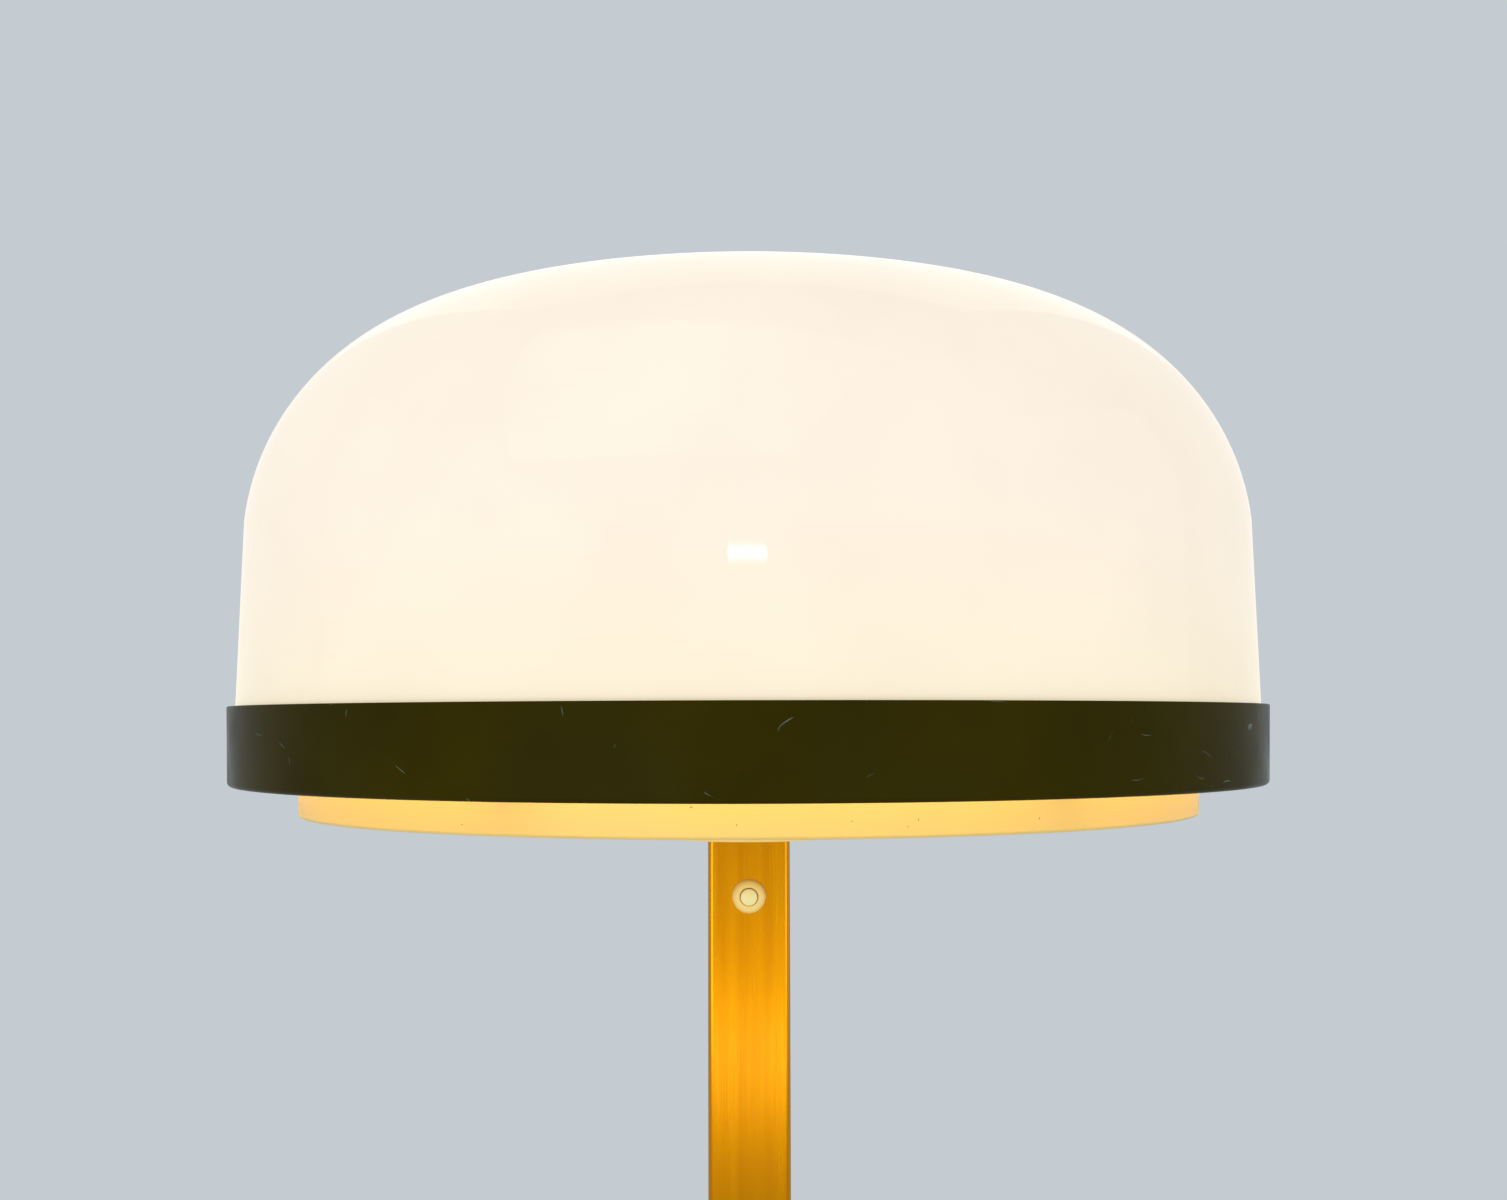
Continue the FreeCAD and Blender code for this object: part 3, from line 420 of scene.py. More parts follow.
grommet_low, grommet_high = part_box("cord_grommet")
grommet_level = (grommet_low.z + grommet_high.z) / 2 / MM
to_back = turn(90, "X")
carve(base_cover, gather((spun([
    (0, -base_radius - BASE_WALL), (GROMMET_NECK, -base_radius - BASE_WALL),
    (GROMMET_NECK, -base_radius + 2 * BASE_WALL), (0, -base_radius + 2 * BASE_WALL)],
    GROMMET_HOLE_STEPS), move(up=grommet_level) @ to_back)))
fit(base_cover, "lamp", "lacquer_dark", "base_cover")

grommet_reach = reach("cord_grommet")
grommet_back = (grommet_high.y - grommet_low.y) / MM
grommet = turned("grommet", [
    (GROMMET_BORE, 0, GROMMET_EDGE),
    (grommet_reach, 0, GROMMET_EDGE),
    (grommet_reach, GROMMET_LIP, GROMMET_EDGE),
    (GROMMET_NECK, GROMMET_LIP),
    (GROMMET_NECK, grommet_back - GROMMET_LIP),
    (grommet_reach, grommet_back - GROMMET_LIP, GROMMET_EDGE),
    (grommet_reach, grommet_back, GROMMET_EDGE),
    (GROMMET_BORE, grommet_back, GROMMET_EDGE),
], black_rubber, steps=GROMMET_STEPS,
    place=move(0, grommet_high.y / MM, grommet_level) @ to_back)
fit(grommet, "lamp", "rubber_black", "cord_grommet")

screw_place = reach("base_plate_screws") - SCREW_HEAD
screw_foot, screw_tip = levels("base_plate_screws")
corners = [move(across * screw_place, deep * screw_place) for across in (-1, 1) for deep in (-1, 1)]
plate_screws = piece("cross_screws", gather(*[(spun([
    (0, screw_foot),
    (SCREW_HEAD, screw_foot, SCREW_HEAD_EDGE),
    (SCREW_HEAD, screw_foot + SCREW_HEAD_HEIGHT),
    (SCREW_SHANK, screw_foot + SCREW_HEAD_HEIGHT),
    (SCREW_SHANK, screw_tip, SCREW_TIP_EDGE),
    (0, screw_tip),
], SCREW_STEPS), place) for place in corners]), zinc_plate)
cross = [(-CROSS, -CROSS_REACH), (CROSS, -CROSS_REACH), (CROSS, -CROSS), (CROSS_REACH, -CROSS),
         (CROSS_REACH, CROSS), (CROSS, CROSS), (CROSS, CROSS_REACH), (-CROSS, CROSS_REACH),
         (-CROSS, CROSS), (-CROSS_REACH, CROSS), (-CROSS_REACH, -CROSS), (-CROSS, -CROSS)]
carve(plate_screws, gather(*[
    (extruded(cross, 2 * CROSS_DEPTH, CROSS_EASE),
     place @ move(up=screw_foot) @ turn(angle) @ to_back)
    for place, angle in zip(corners, CROSS_TURNS)]))
fit(plate_screws, "lamp", "steel_zinc", "base_plate_screws")


# Stem: a square brass tube with a steel plug in each end. A bolt through the base holds its
# foot. Its faces are brushed along the tube, and its edges are painted pale, as rubbed wear and as
# a painted highlight.

RUBBED_HIGHLIGHT_FROM = 18.9
RUBBED_HIGHLIGHT_TO = 19.6

# Brass, brushed along the tube and lacquered clear: warm gold with fine upright lines, whose
# glints spread sideways, and painted pale along the corners, as rubbed wear and as a painted
# highlight. The lines are drawn coarser than real ones, so that they show.
@finish
def brushed_brass(tree):
    place = add(tree, "TexCoord", output="Object")
    broad = add(tree, "Mapping", {"Vector": place, "Scale": (1, 1, 1 / 60)})
    broad = add(tree, "TexNoise", {"Vector": broad, "Scale": cells(7)})
    broad = add(tree, "MapRange", {"Value": broad, "From Min": 0.3, "From Max": 0.7})
    colour = add(tree, "Mix", {
        "Factor": broad, "A": linear("c67d00"), "B": linear("d28a00")}, data_type="RGBA")
    lines = add(tree, "Mapping", {"Vector": place, "Scale": (1, 1, 1 / 90)})
    lines = add(tree, "TexNoise", {"Vector": lines, "Scale": cells(0.7), "Detail": 3})
    deep = add(tree, "MapRange", {"Value": lines, "From Min": 0.3, "From Max": 0.7, "To Max": 0.16})
    colour = add(tree, "Mix", {
        "Factor": deep, "A": colour, "B": linear("ac6a00")}, data_type="RGBA")
    # Painted highlight, also rubbed wear: the colour turns pale along the four corners of the tube.
    corner = []
    for way in ("X", "Y"):
        out = add(tree, "SeparateXYZ", {"Vector": place}, way)
        out = add(tree, "Math", {0: out}, operation="ABSOLUTE")
        corner.append(add(tree, "MapRange", {
            "Value": out, "From Min": RUBBED_HIGHLIGHT_FROM * MM, "From Max": RUBBED_HIGHLIGHT_TO * MM}))
    rubbed_highlight = add(tree, "Math", {0: corner[0], 1: corner[1]}, operation="MULTIPLY")
    colour = add(tree, "Mix", {
        "Factor": rubbed_highlight, "A": colour, "B": linear("e6bc72")}, data_type="RGBA")
    rough = add(tree, "MapRange", {"Value": lines, "From Min": 0.25, "From Max": 0.75,
                                   "To Min": 0.21, "To Max": 0.28})
    facing = add(tree, "NewGeometry", output="Normal")
    sideways = add(tree, "VectorMath", {0: facing, 1: (0, 0, 1)}, operation="CROSS_PRODUCT")
    return add(tree, "BsdfPrincipled", {
        "Base Color": colour, "Metallic": 1, "Roughness": rough,
        "Anisotropic": 0.6, "Tangent": sideways, "Coat Weight": 0.08, "Coat Roughness": 0.12,
        "Normal": add(tree, "Bump", {"Height": lines, "Distance": 0.006 * MM})})


# Bare turned steel: grey, with a thin film of oil.
@finish
def bare_steel(tree):
    place = add(tree, "TexCoord", output="Object")
    film = add(tree, "TexNoise", {"Vector": place, "Scale": cells(12), "Detail": 3})
    colour = add(tree, "Mix", {
        "Factor": film, "A": linear("85878a"), "B": linear("a6a8aa")}, data_type="RGBA")
    rough = add(tree, "MapRange", {"Value": film, "From Min": 0.3, "From Max": 0.7,
                                   "To Min": 0.3, "To Max": 0.5})
    return add(tree, "BsdfPrincipled", {"Base Color": colour, "Metallic": 1, "Roughness": rough})


dress(brushed_brass, "stem_tube")
dress(bare_steel, "stem_foot_plug", "stem_head_plug")
dress(zinc_plate, "stem_bolt", "stem_bolt_washer")


# Push switch: an ivory bezel moulded with its threaded barrel, a button that slides in it, and
# a black switch body behind, held by a steel nut inside the stem.

BEZEL_PROUD = 4
BEZEL_FLAT = 5
BEZEL_LIP = 0.3
BEZEL_STEP = 10
BUTTON_GAP = 4.4
BARREL = 6
BUTTON_EDGE = 0.7
SWITCH_STEPS = 128

# The button's face is a low crown: it falls by CROWN_DROP over CROWN_SHARE of its radius, and by
# BUTTON_CROWN at its edge.
BUTTON_CROWN = 0.5
CROWN_DROP = 0.1
CROWN_SHARE = 0.45

# Urea plastic, moulded: ivory, with a soft gloss.
@finish
def ivory_plastic(tree):
    place = add(tree, "TexCoord", output="Object")
    aged = add(tree, "TexNoise", {"Vector": place, "Scale": cells(5), "Detail": 3})
    colour = add(tree, "Mix", {
        "Factor": aged, "A": linear("fbe79c"), "B": linear("fdeeb0")}, data_type="RGBA")
    grain = add(tree, "TexNoise", {"Vector": place, "Scale": cells(1.2)})
    return add(tree, "BsdfPrincipled", {
        "Base Color": colour, "Roughness": 0.34,
        "Subsurface Weight": 0.1, "Subsurface Scale": 0.5 * MM,
        "Normal": add(tree, "Bump", {"Height": grain, "Distance": 0.008 * MM})})


# The same plastic on the bezel, a deeper yellow than the button's, its colour pushed up as
# painted light for the shade of the dish over it.
@finish
def plastic_painted_brighter(tree):
    place = add(tree, "TexCoord", output="Object")
    aged = add(tree, "TexNoise", {"Vector": place, "Scale": cells(6), "Detail": 3})
    colour = add(tree, "Mix", {
        "Factor": aged, "A": linear("fcd47c"), "B": linear("ffde88")}, data_type="RGBA")
    grain = add(tree, "TexNoise", {"Vector": place, "Scale": cells(1.4)})
    return add(tree, "BsdfPrincipled", {
        "Base Color": colour, "Roughness": 0.3,
        "Subsurface Weight": 0.1, "Subsurface Scale": 0.5 * MM,
        "Normal": add(tree, "Bump", {"Height": grain, "Distance": 0.008 * MM})})


# Phenolic plastic, moulded: black-brown, hard and glossy, with a faint flow pattern.
@finish
def black_phenolic(tree):
    place = add(tree, "TexCoord", output="Object")
    flow = add(tree, "Mapping", {"Vector": place, "Scale": (1, 1, 1 / 0.4)})
    flow = add(tree, "TexNoise", {"Vector": flow, "Scale": cells(9), "Detail": 4})
    colour = add(tree, "Mix", {
        "Factor": flow, "A": linear("0e0c0b"), "B": linear("191512")}, data_type="RGBA")
    rough = add(tree, "MapRange", {"Value": flow, "From Min": 0.3, "From Max": 0.7,
                                   "To Min": 0.22, "To Max": 0.36})
    return add(tree, "BsdfPrincipled", {"Base Color": colour, "Roughness": rough})


bezel_low, bezel_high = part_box("switch_bezel")
button_low, button_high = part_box("push_button")
stem_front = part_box("stem_tube")[0].y
switch_place = move(0, stem_front / MM, (bezel_low.z + bezel_high.z) / 2 / MM) @ turn(90, "X")
bezel_radius = reach("switch_bezel")
bezel_round = bezel_radius - BEZEL_FLAT
bezel = turned("switch_ring", [
    (BUTTON_GAP, BEZEL_PROUD, BEZEL_LIP),
    (BEZEL_FLAT, BEZEL_PROUD),
    *[(BEZEL_FLAT + bezel_round * math.cos(math.radians(angle)),
       BEZEL_PROUD * math.sin(math.radians(angle)))
      for angle in range(90 - BEZEL_STEP, 0, -BEZEL_STEP)],
    (bezel_radius, 0),
    (BARREL, 0),
    (BARREL, (stem_front - bezel_high.y) / MM),
    (BUTTON_GAP, (stem_front - bezel_high.y) / MM),
], plastic_painted_brighter, place=switch_place, steps=SWITCH_STEPS)
fit(bezel, "lamp", "moulded_cream", "switch_bezel")

button_radius = reach("push_button")
button_front = (stem_front - button_low.y) / MM
button_back = (stem_front - button_high.y) / MM
button = turned("button_cap", [
    (0, button_front),
    (button_radius * CROWN_SHARE, button_front - CROWN_DROP),
    (button_radius, button_front - BUTTON_CROWN, BUTTON_EDGE),
    (button_radius, button_back),
    (0, button_back),
], ivory_plastic, place=switch_place, steps=SWITCH_STEPS)
fit(button, "button", "moulded_cream", "push_button")
dress(black_phenolic, "switch_body")
dress(zinc_plate, "switch_nut")


# Head clamp: a threaded brass tube rises from the stem through the hub, the dish, a spacer and
# the lamp carrier, and a nut on a washer pulls them together. The hub hides the joint below.

HUB_WALL = 1.2
HUB_EDGE = 0.4
HUB_PLAY = 0.4
HUB_EASE = 0.2
TUBE_BORE = 4.5
TUBE_PITCH = 1.5
TUBE_THREAD = 0.45
TUBE_STEPS = 64
SPACER_EDGE = 0.5
WASHER_EDGE = 0.3
RING_STEPS = 96
NUT_EASE = 0.7
CUT_BEYOND = 1

# Enamel, sprayed on pressed steel: pale cream with a satin gloss, painted paler than the dish's
# as painted light for the hub in the dish's shade.
@finish
def enamel_painted_paler(tree):
    place = add(tree, "TexCoord", output="Object")
    cloud = add(tree, "TexNoise", {"Vector": place, "Scale": cells(30), "Detail": 3})
    colour = add(tree, "Mix", {
        "Factor": cloud, "A": linear("fad67e"), "B": linear("ffdd8a")}, data_type="RGBA")
    grain = add(tree, "TexNoise", {"Vector": place, "Scale": cells(2)})
    return add(tree, "BsdfPrincipled", {
        "Base Color": colour, "Roughness": 0.38,
        "Normal": add(tree, "Bump", {"Height": grain, "Distance": 0.015 * MM})})


# Brass rod and sheet, turned or rolled and left plain: a duller gold than the stem's.
@finish
def plain_brass(tree):
    place = add(tree, "TexCoord", output="Object")
    stain = add(tree, "TexNoise", {"Vector": place, "Scale": cells(8), "Detail": 4})
    colour = add(tree, "Mix", {
        "Factor": stain, "A": linear("b9923f"), "B": linear("d4ad55")}, data_type="RGBA")
    rough = add(tree, "MapRange", {"Value": stain, "From Min": 0.3, "From Max": 0.7,
                                   "To Min": 0.25, "To Max": 0.4})
    return add(tree, "BsdfPrincipled", {"Base Color": colour, "Metallic": 1, "Roughness": rough})


hub_foot, hub_top = levels("hub_cover")
hub_radius = reach("hub_cover")
hub = turned("hub_cap", [
    (0, hub_foot),
    (hub_radius, hub_foot, HUB_EDGE),
    (hub_radius, hub_top, HUB_EDGE),
    (hub_radius - HUB_WALL, hub_top, HUB_EDGE),
    (hub_radius - HUB_WALL, hub_foot + HUB_WALL),
    (0, hub_foot + HUB_WALL),
], enamel_painted_paler)
stem_way = reach("stem_tube") + HUB_PLAY
carve(hub, gather((extruded([
    (-stem_way, -stem_way), (stem_way, -stem_way), (stem_way, stem_way), (-stem_way, stem_way)],
    4 * HUB_WALL, HUB_EASE), move(up=hub_foot) @ turn(90, "X"))))
fit(hub, "lamp", "lacquer_cream", "hub_cover")

tube_foot, tube_top = levels("hub_nipple")
tube_radius = reach("hub_nipple")
ridges = int((tube_top - tube_foot) / TUBE_PITCH)
threaded_tube = turned("threaded_tube", [
    (TUBE_BORE, tube_foot),
    *[(tube_radius - TUBE_THREAD * (step % 2), tube_foot + TUBE_PITCH * step / 2)
      for step in range(2 * ridges + 1)],
    (TUBE_BORE, tube_top),
], plain_brass, steps=TUBE_STEPS)
fit(threaded_tube, "lamp", "brass_plain", "hub_nipple")

for name, node, edge in (("spacer_sleeve", "hub_spacer", SPACER_EDGE),
                         ("clamp_washer", "hub_washer", WASHER_EDGE)):
    foot, top = levels(node)
    ring = turned(name, [
        (tube_radius, foot), (reach(node), foot, edge), (reach(node), top, edge),
        (tube_radius, top)], zinc_plate, steps=RING_STEPS)
    fit(ring, "lamp", "steel_zinc", node)

nut_foot, nut_top = levels("hub_nut")
nut_height = nut_top - nut_foot
nut_corner = reach("hub_nut") / math.cos(math.radians(30))
six_sides = [
    (nut_corner * math.cos(math.radians(angle)), nut_corner * math.sin(math.radians(angle)))
    for angle in range(30, 390, 60)]
clamp_nut = piece("clamp_nut", gather((
    extruded(six_sides, nut_height, NUT_EASE),
    move(up=nut_foot + nut_height / 2) @ turn(90, "X"))), plain_brass)
carve(clamp_nut, spun([
    (0, nut_foot - CUT_BEYOND), (tube_radius, nut_foot - CUT_BEYOND),
    (tube_radius, nut_top + CUT_BEYOND), (0, nut_top + CUT_BEYOND)], TUBE_STEPS))
fit(clamp_nut, "lamp", "brass_plain", "hub_nut")


# Dish: a spun steel pan that carries the lamps, closes the head from below and throws the
# light up. Cream enamel covers it inside and out.

DISH_WALL = 1.2
DISH_EDGE = 1.5
DISH_RIM_EDGE = 0.5
CLAMP_HOLE = 6.6
HEAD_STEPS = 360

# The same enamel on spun steel, in a deeper yellow than the hub's: painted warm light from the
# bulbs, with a few brown specks from dust.
@finish
def enamel_painted_warm(tree):
    place = add(tree, "TexCoord", output="Object")
    cloud = add(tree, "TexNoise", {"Vector": place, "Scale": cells(60), "Detail": 3})
    colour = add(tree, "Mix", {
        "Factor": cloud, "A": linear("e3be63"), "B": linear("eac66c")}, data_type="RGBA")
    speck = add(tree, "TexNoise", {"Vector": place, "Scale": cells(2.6), "Detail": 0})
    speck = add(tree, "MapRange", {"Value": speck, "From Min": 0.868, "From Max": 0.878})
    colour = add(tree, "Mix", {
        "Factor": speck, "A": colour, "B": linear("8f7434")}, data_type="RGBA")
    rough = add(tree, "MapRange", {"Value": cloud, "From Min": 0.3, "From Max": 0.7,
                                   "To Min": 0.36, "To Max": 0.46})
    grain = add(tree, "TexNoise", {"Vector": place, "Scale": cells(2)})
    return add(tree, "BsdfPrincipled", {
        "Base Color": colour, "Roughness": rough,
        "Normal": add(tree, "Bump", {"Height": grain, "Distance": 0.015 * MM})})


dish_radius = reach("reflector_dish")
dish_foot, dish_rim = levels("reflector_dish")
dish = turned("dish_pan", [
    (CLAMP_HOLE, dish_foot),
    (dish_radius, dish_foot, DISH_EDGE),
    (dish_radius, dish_rim, DISH_RIM_EDGE),
    (dish_radius - DISH_WALL, dish_rim, DISH_RIM_EDGE),
    (dish_radius - DISH_WALL, dish_foot + DISH_WALL, DISH_EDGE - DISH_WALL),
    (CLAMP_HOLE, dish_foot + DISH_WALL),
], enamel_painted_warm, steps=HEAD_STEPS)
fit(dish, "lamp", "lacquer_cream", "reflector_dish")


# Band: a broad dark hoop of lacquered steel round the foot of the dome, turned in at its lower
# edge. Six bent brackets, each held by a rivet, carry it on the dish, and soft rests on them
# carry the dome.

BAND_WALL = 2
BAND_TAPER = 0.85
HEM_WIDTH = 5
HEM_HEIGHT = 4.5
BAND_EDGE = 2
BAND_LIP = 0.6
BRACKET_COUNT = 6
BRACKET_START = -115.1
BRACKET_WALL = 1.5
BRACKET_WIDTH = 9
BRACKET_BEND = 1
BRACKET_PLAY = 0.1
BRACKET_EDGE = 0.3
BRACKET_EASE = 0.2
RIVET_SHANK = 2
RIVET_RISE = 1.3
RIVET_PLAY = 0.05
RIVET_STEP = 15
REST_LENGTH = 4.3
REST_WIDTH = 7
REST_EDGE = 0.3
REST_EASE = 0.15

# Silicone rubber, moulded: clear with a faint haze, and softly shiny.
@finish
def clear_silicone(tree):
    place = add(tree, "TexCoord", output="Object")
    haze = add(tree, "TexNoise", {"Vector": place, "Scale": cells(3)})
    colour = add(tree, "Mix", {
        "Factor": haze, "A": linear("d8d8d2"), "B": linear("e6e6e0")}, data_type="RGBA")
    return add(tree, "BsdfPrincipled", {
        "Base Color": colour, "Roughness": 0.35, "Transmission Weight": 0.4, "IOR": 1.41})


band_radius = reach("ring_band")
band_foot, band_top = levels("ring_band")
band_foot_radius = band_radius - BAND_TAPER
inner_taper = BAND_TAPER * HEM_HEIGHT / (band_top - band_foot)
band = turned("dark_band", [
    (band_foot_radius - HEM_WIDTH, band_foot, BAND_EDGE),
    (band_foot_radius, band_foot, BAND_EDGE),
    (band_radius, band_top, BAND_LIP),
    (band_radius - BAND_WALL, band_top, BAND_LIP),
    (band_foot_radius - BAND_WALL + inner_taper, band_foot + HEM_HEIGHT),
    (band_foot_radius - HEM_WIDTH, band_foot + HEM_HEIGHT),
], dark_lacquer, steps=HEAD_STEPS)
fit(band, "lamp", "lacquer_dark", "ring_band")

bracket_foot, bracket_top = levels("ring_brackets")
bracket_reach = band_foot_radius - BAND_WALL + inner_taper - BRACKET_PLAY
bracket_turns = [turn(BRACKET_START + 360 / BRACKET_COUNT * number)
                 for number in range(BRACKET_COUNT)]
brackets = piece("bent_brackets", gather(*[(extruded([
    (dish_radius, bracket_foot, BRACKET_EDGE),
    (dish_radius + BRACKET_WALL, bracket_foot, BRACKET_EDGE),
    (dish_radius + BRACKET_WALL, bracket_top - BRACKET_WALL, BRACKET_BEND),
    (bracket_reach - BRACKET_WALL, bracket_top - BRACKET_WALL, BRACKET_BEND),
    (bracket_reach - BRACKET_WALL, band_foot + HEM_HEIGHT, BRACKET_EDGE),
    (bracket_reach, band_foot + HEM_HEIGHT, BRACKET_EDGE),
    (bracket_reach, bracket_top, BRACKET_BEND + BRACKET_WALL),
    (dish_radius, bracket_top, BRACKET_BEND + BRACKET_WALL),
], BRACKET_WIDTH, BRACKET_EASE), place) for place in bracket_turns]), zinc_plate)
fit(brackets, "lamp", "steel_zinc", "ring_brackets")

rivet_low, rivet_high = levels("bracket_rivets")
rivet_head = (rivet_high - rivet_low) / 2
rivet_grip = DISH_WALL + BRACKET_WALL + RIVET_PLAY
round_head = [
    (rivet_head * math.cos(math.radians(angle)), RIVET_RISE * math.sin(math.radians(angle)))
    for angle in range(0, 90, RIVET_STEP)]
to_side = move(dish_radius - DISH_WALL - RIVET_PLAY, 0, rivet_low + rivet_head) @ turn(90, "Y")
rivets = piece("dome_rivets", gather(*[(spun([
    (0, -RIVET_RISE),
    *[(across, -up) for across, up in reversed(round_head)],
    (RIVET_SHANK, 0),
    (RIVET_SHANK, rivet_grip),
    *[(across, rivet_grip + up) for across, up in round_head],
    (0, rivet_grip + RIVET_RISE),
], SCREW_STEPS), place @ to_side) for place in bracket_turns]), zinc_plate)
fit(rivets, "lamp", "steel_zinc", "bracket_rivets")

rest_foot, rest_top = levels("dome_rests")
rests = piece("soft_rests", gather(*[(extruded([
    (bracket_reach - REST_LENGTH, rest_foot),
    (bracket_reach, rest_foot),
    (bracket_reach, rest_top, REST_EDGE),
    (bracket_reach - REST_LENGTH, rest_top, REST_EDGE),
], REST_WIDTH, REST_EASE), place) for place in bracket_turns]), clear_silicone)
fit(rests, "lamp", "silicone_clear", "dome_rests")


# Lamp carrier: a flat steel spider with three arms, and on it a white terminal block from
# which sleeved leads run to the lampholders and down to the switch.

SHOULDER_LEVEL = 9.5
RIDGE = 5.2
BLOCK_FOOT_EDGE = 0.6
BLOCK_EDGE = 0.8
BLOCK_VALLEY = 0.5
BLOCK_EASE = 0.5
NOTCH_WIDTH = 2
NOTCH_DEPTH = 4
NOTCH_EASE = 0.1
CLAMP_SHANK = 1.5
CLAMP_HEAD = 2.8
CLAMP_EDGE = 0.6
SLOT_WIDTH = 0.8
SLOT_DEPTH = 1
SLOT_EASE = 0.05
SLOT_TURNS = (25, 80)

# Melamine plastic, moulded: chalk white and matt.
@finish
def white_melamine(tree):
    place = add(tree, "TexCoord", output="Object")
    chalk = add(tree, "TexNoise", {"Vector": place, "Scale": cells(4), "Detail": 4})
    colour = add(tree, "Mix", {
        "Factor": chalk, "A": linear("e4e2db"), "B": linear("efeee8")}, data_type="RGBA")
    return add(tree, "BsdfPrincipled", {"Base Color": colour, "Roughness": 0.55})


# Woven glass sleeve over the wires: off-white, heat-proof, with a fine braid.
@finish
def woven_sleeve(tree):
    place = add(tree, "TexCoord", output="Object")
    braid = add(tree, "TexNoise", {"Vector": place, "Scale": cells(0.8), "Detail": 1})
    colour = add(tree, "Mix", {
        "Factor": braid, "A": linear("b9b29c"), "B": linear("dcd6c2")}, data_type="RGBA")
    return add(tree, "BsdfPrincipled", {
        "Base Color": colour, "Roughness": 0.8,
        "Normal": add(tree, "Bump", {"Height": braid, "Distance": 0.12 * MM})})


dress(zinc_plate, "lamp_carrier", "lampholder_nuts", "lampholder_nipples")
dress(woven_sleeve, "switch_lead", "lamp_lead_rear", "lamp_lead_left", "lamp_lead_right")

block_low, block_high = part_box("terminal_block")
block_middle = (block_low + block_high) / 2 / MM
block_foot, block_top = levels("terminal_block")
half_depth = (block_high.y - block_low.y) / 2 / MM
block = piece("two_way_block", gather((extruded([
    (-half_depth, block_foot, BLOCK_FOOT_EDGE),
    (half_depth, block_foot, BLOCK_FOOT_EDGE),
    (half_depth, block_foot + SHOULDER_LEVEL, BLOCK_EDGE),
    (RIDGE, block_foot + SHOULDER_LEVEL, BLOCK_VALLEY),
    (RIDGE, block_top, BLOCK_EDGE),
    (-RIDGE, block_top, BLOCK_EDGE),
    (-RIDGE, block_foot + SHOULDER_LEVEL, BLOCK_VALLEY),
    (-half_depth, block_foot + SHOULDER_LEVEL, BLOCK_EDGE),
], 2 * reach("terminal_block"), BLOCK_EASE), move(0, block_middle.y) @ turn(90))), white_melamine)
carve(block, gather((extruded([
    (-RIDGE, block_top - NOTCH_DEPTH), (RIDGE, block_top - NOTCH_DEPTH),
    (RIDGE, block_top + CUT_BEYOND), (-RIDGE, block_top + CUT_BEYOND)], NOTCH_WIDTH, NOTCH_EASE),
    move(0, block_middle.y) @ turn(90))))
fit(block, "lamp", "moulded_white", "terminal_block")

clamp_low, clamp_top = levels("terminal_screws")
clamp_sides = [move(side * (reach("terminal_screws") - CLAMP_HEAD), block_middle.y)
               for side in (-1, 1)]
clamp_screws = piece("slotted_screws", gather(*[(spun([
    (0, clamp_low), (CLAMP_SHANK, clamp_low), (CLAMP_SHANK, block_top), (CLAMP_HEAD, block_top),
    (CLAMP_HEAD, clamp_top, CLAMP_EDGE), (0, clamp_top)],
    SCREW_STEPS), place) for place in clamp_sides]), zinc_plate)
carve(clamp_screws, gather(*[(extruded([
    (-CLAMP_HEAD, clamp_top - SLOT_DEPTH), (CLAMP_HEAD, clamp_top - SLOT_DEPTH),
    (CLAMP_HEAD, clamp_top + CUT_BEYOND), (-CLAMP_HEAD, clamp_top + CUT_BEYOND)],
    SLOT_WIDTH, SLOT_EASE), place @ turn(angle)) for place, angle in zip(clamp_sides, SLOT_TURNS)]))
fit(clamp_screws, "lamp", "steel_zinc", "terminal_screws")


# Lampholders and bulbs: three black moulded holders, each with a threaded metal shell and a
# contact in its floor. A frosted bulb with a screw cap sits in each.

HOLDER_BORE = 14.8
HOLDER_FLOOR = 14
HOLDER_EDGE = 1.5
HOLDER_LIP = 0.4
HOLDER_STEPS = 72
SEAM_LEVEL = 26
SEAM_WIDTH = 1
SEAM_DEPTH = 0.7
NIPPLE_HOLE = 5.1
NIPPLE_GRIP = 8
CONTACT_EDGE = 0.3
CONTACT_CROWN = 1.2
CONTACT_STEPS = 48
CAP_TIP = 4.5
CAP_TIP_HEIGHT = 4
CAP_TIP_EDGE = 0.8
CAP_EDGE = 0.5
THREAD_PITCH = 3.6
THREAD_DEPTH = 0.8
THREAD_STEPS = 8
SHELL_WALL = 0.6
SHELL_WAVE = 0.4
GLASS_BALL = 30
GLASS_NECK = 12.8
GLASS_WALL = 1
GLASS_ARC_END = 89
GLASS_ARC_STEPS = 24
BULB_STEPS = 96

# Flutes are sunk into faces of a holder that are upright, that lie further out than FLUTE_OUTSIDE
# and that have more than FLUTE_AREA, in square millimetres.
FLUTE_GAP = 0.2
FLUTE_DEPTH = 0.4
FLUTE_OUTSIDE = 16.8
FLUTE_AREA = 8
UPRIGHT = 0.1

# Rolled aluminium: pale and soft, with light scratches round the thread, drawn coarser than real
# ones.
@finish
def cap_aluminium(tree):
    place = add(tree, "TexCoord", output="Object")
    scratch = add(tree, "Mapping", {"Vector": place, "Scale": (1, 1, 1 / 0.3)})
    scratch = add(tree, "TexNoise", {"Vector": scratch, "Scale": cells(0.8), "Detail": 3})
    colour = add(tree, "Mix", {
        "Factor": scratch, "A": linear("bfc0be"), "B": linear("d6d6d3")}, data_type="RGBA")
    rough = add(tree, "MapRange", {"Value": scratch, "From Min": 0.3, "From Max": 0.7,
                                   "To Min": 0.3, "To Max": 0.45})
    return add(tree, "BsdfPrincipled", {"Base Color": colour, "Metallic": 1, "Roughness": rough})


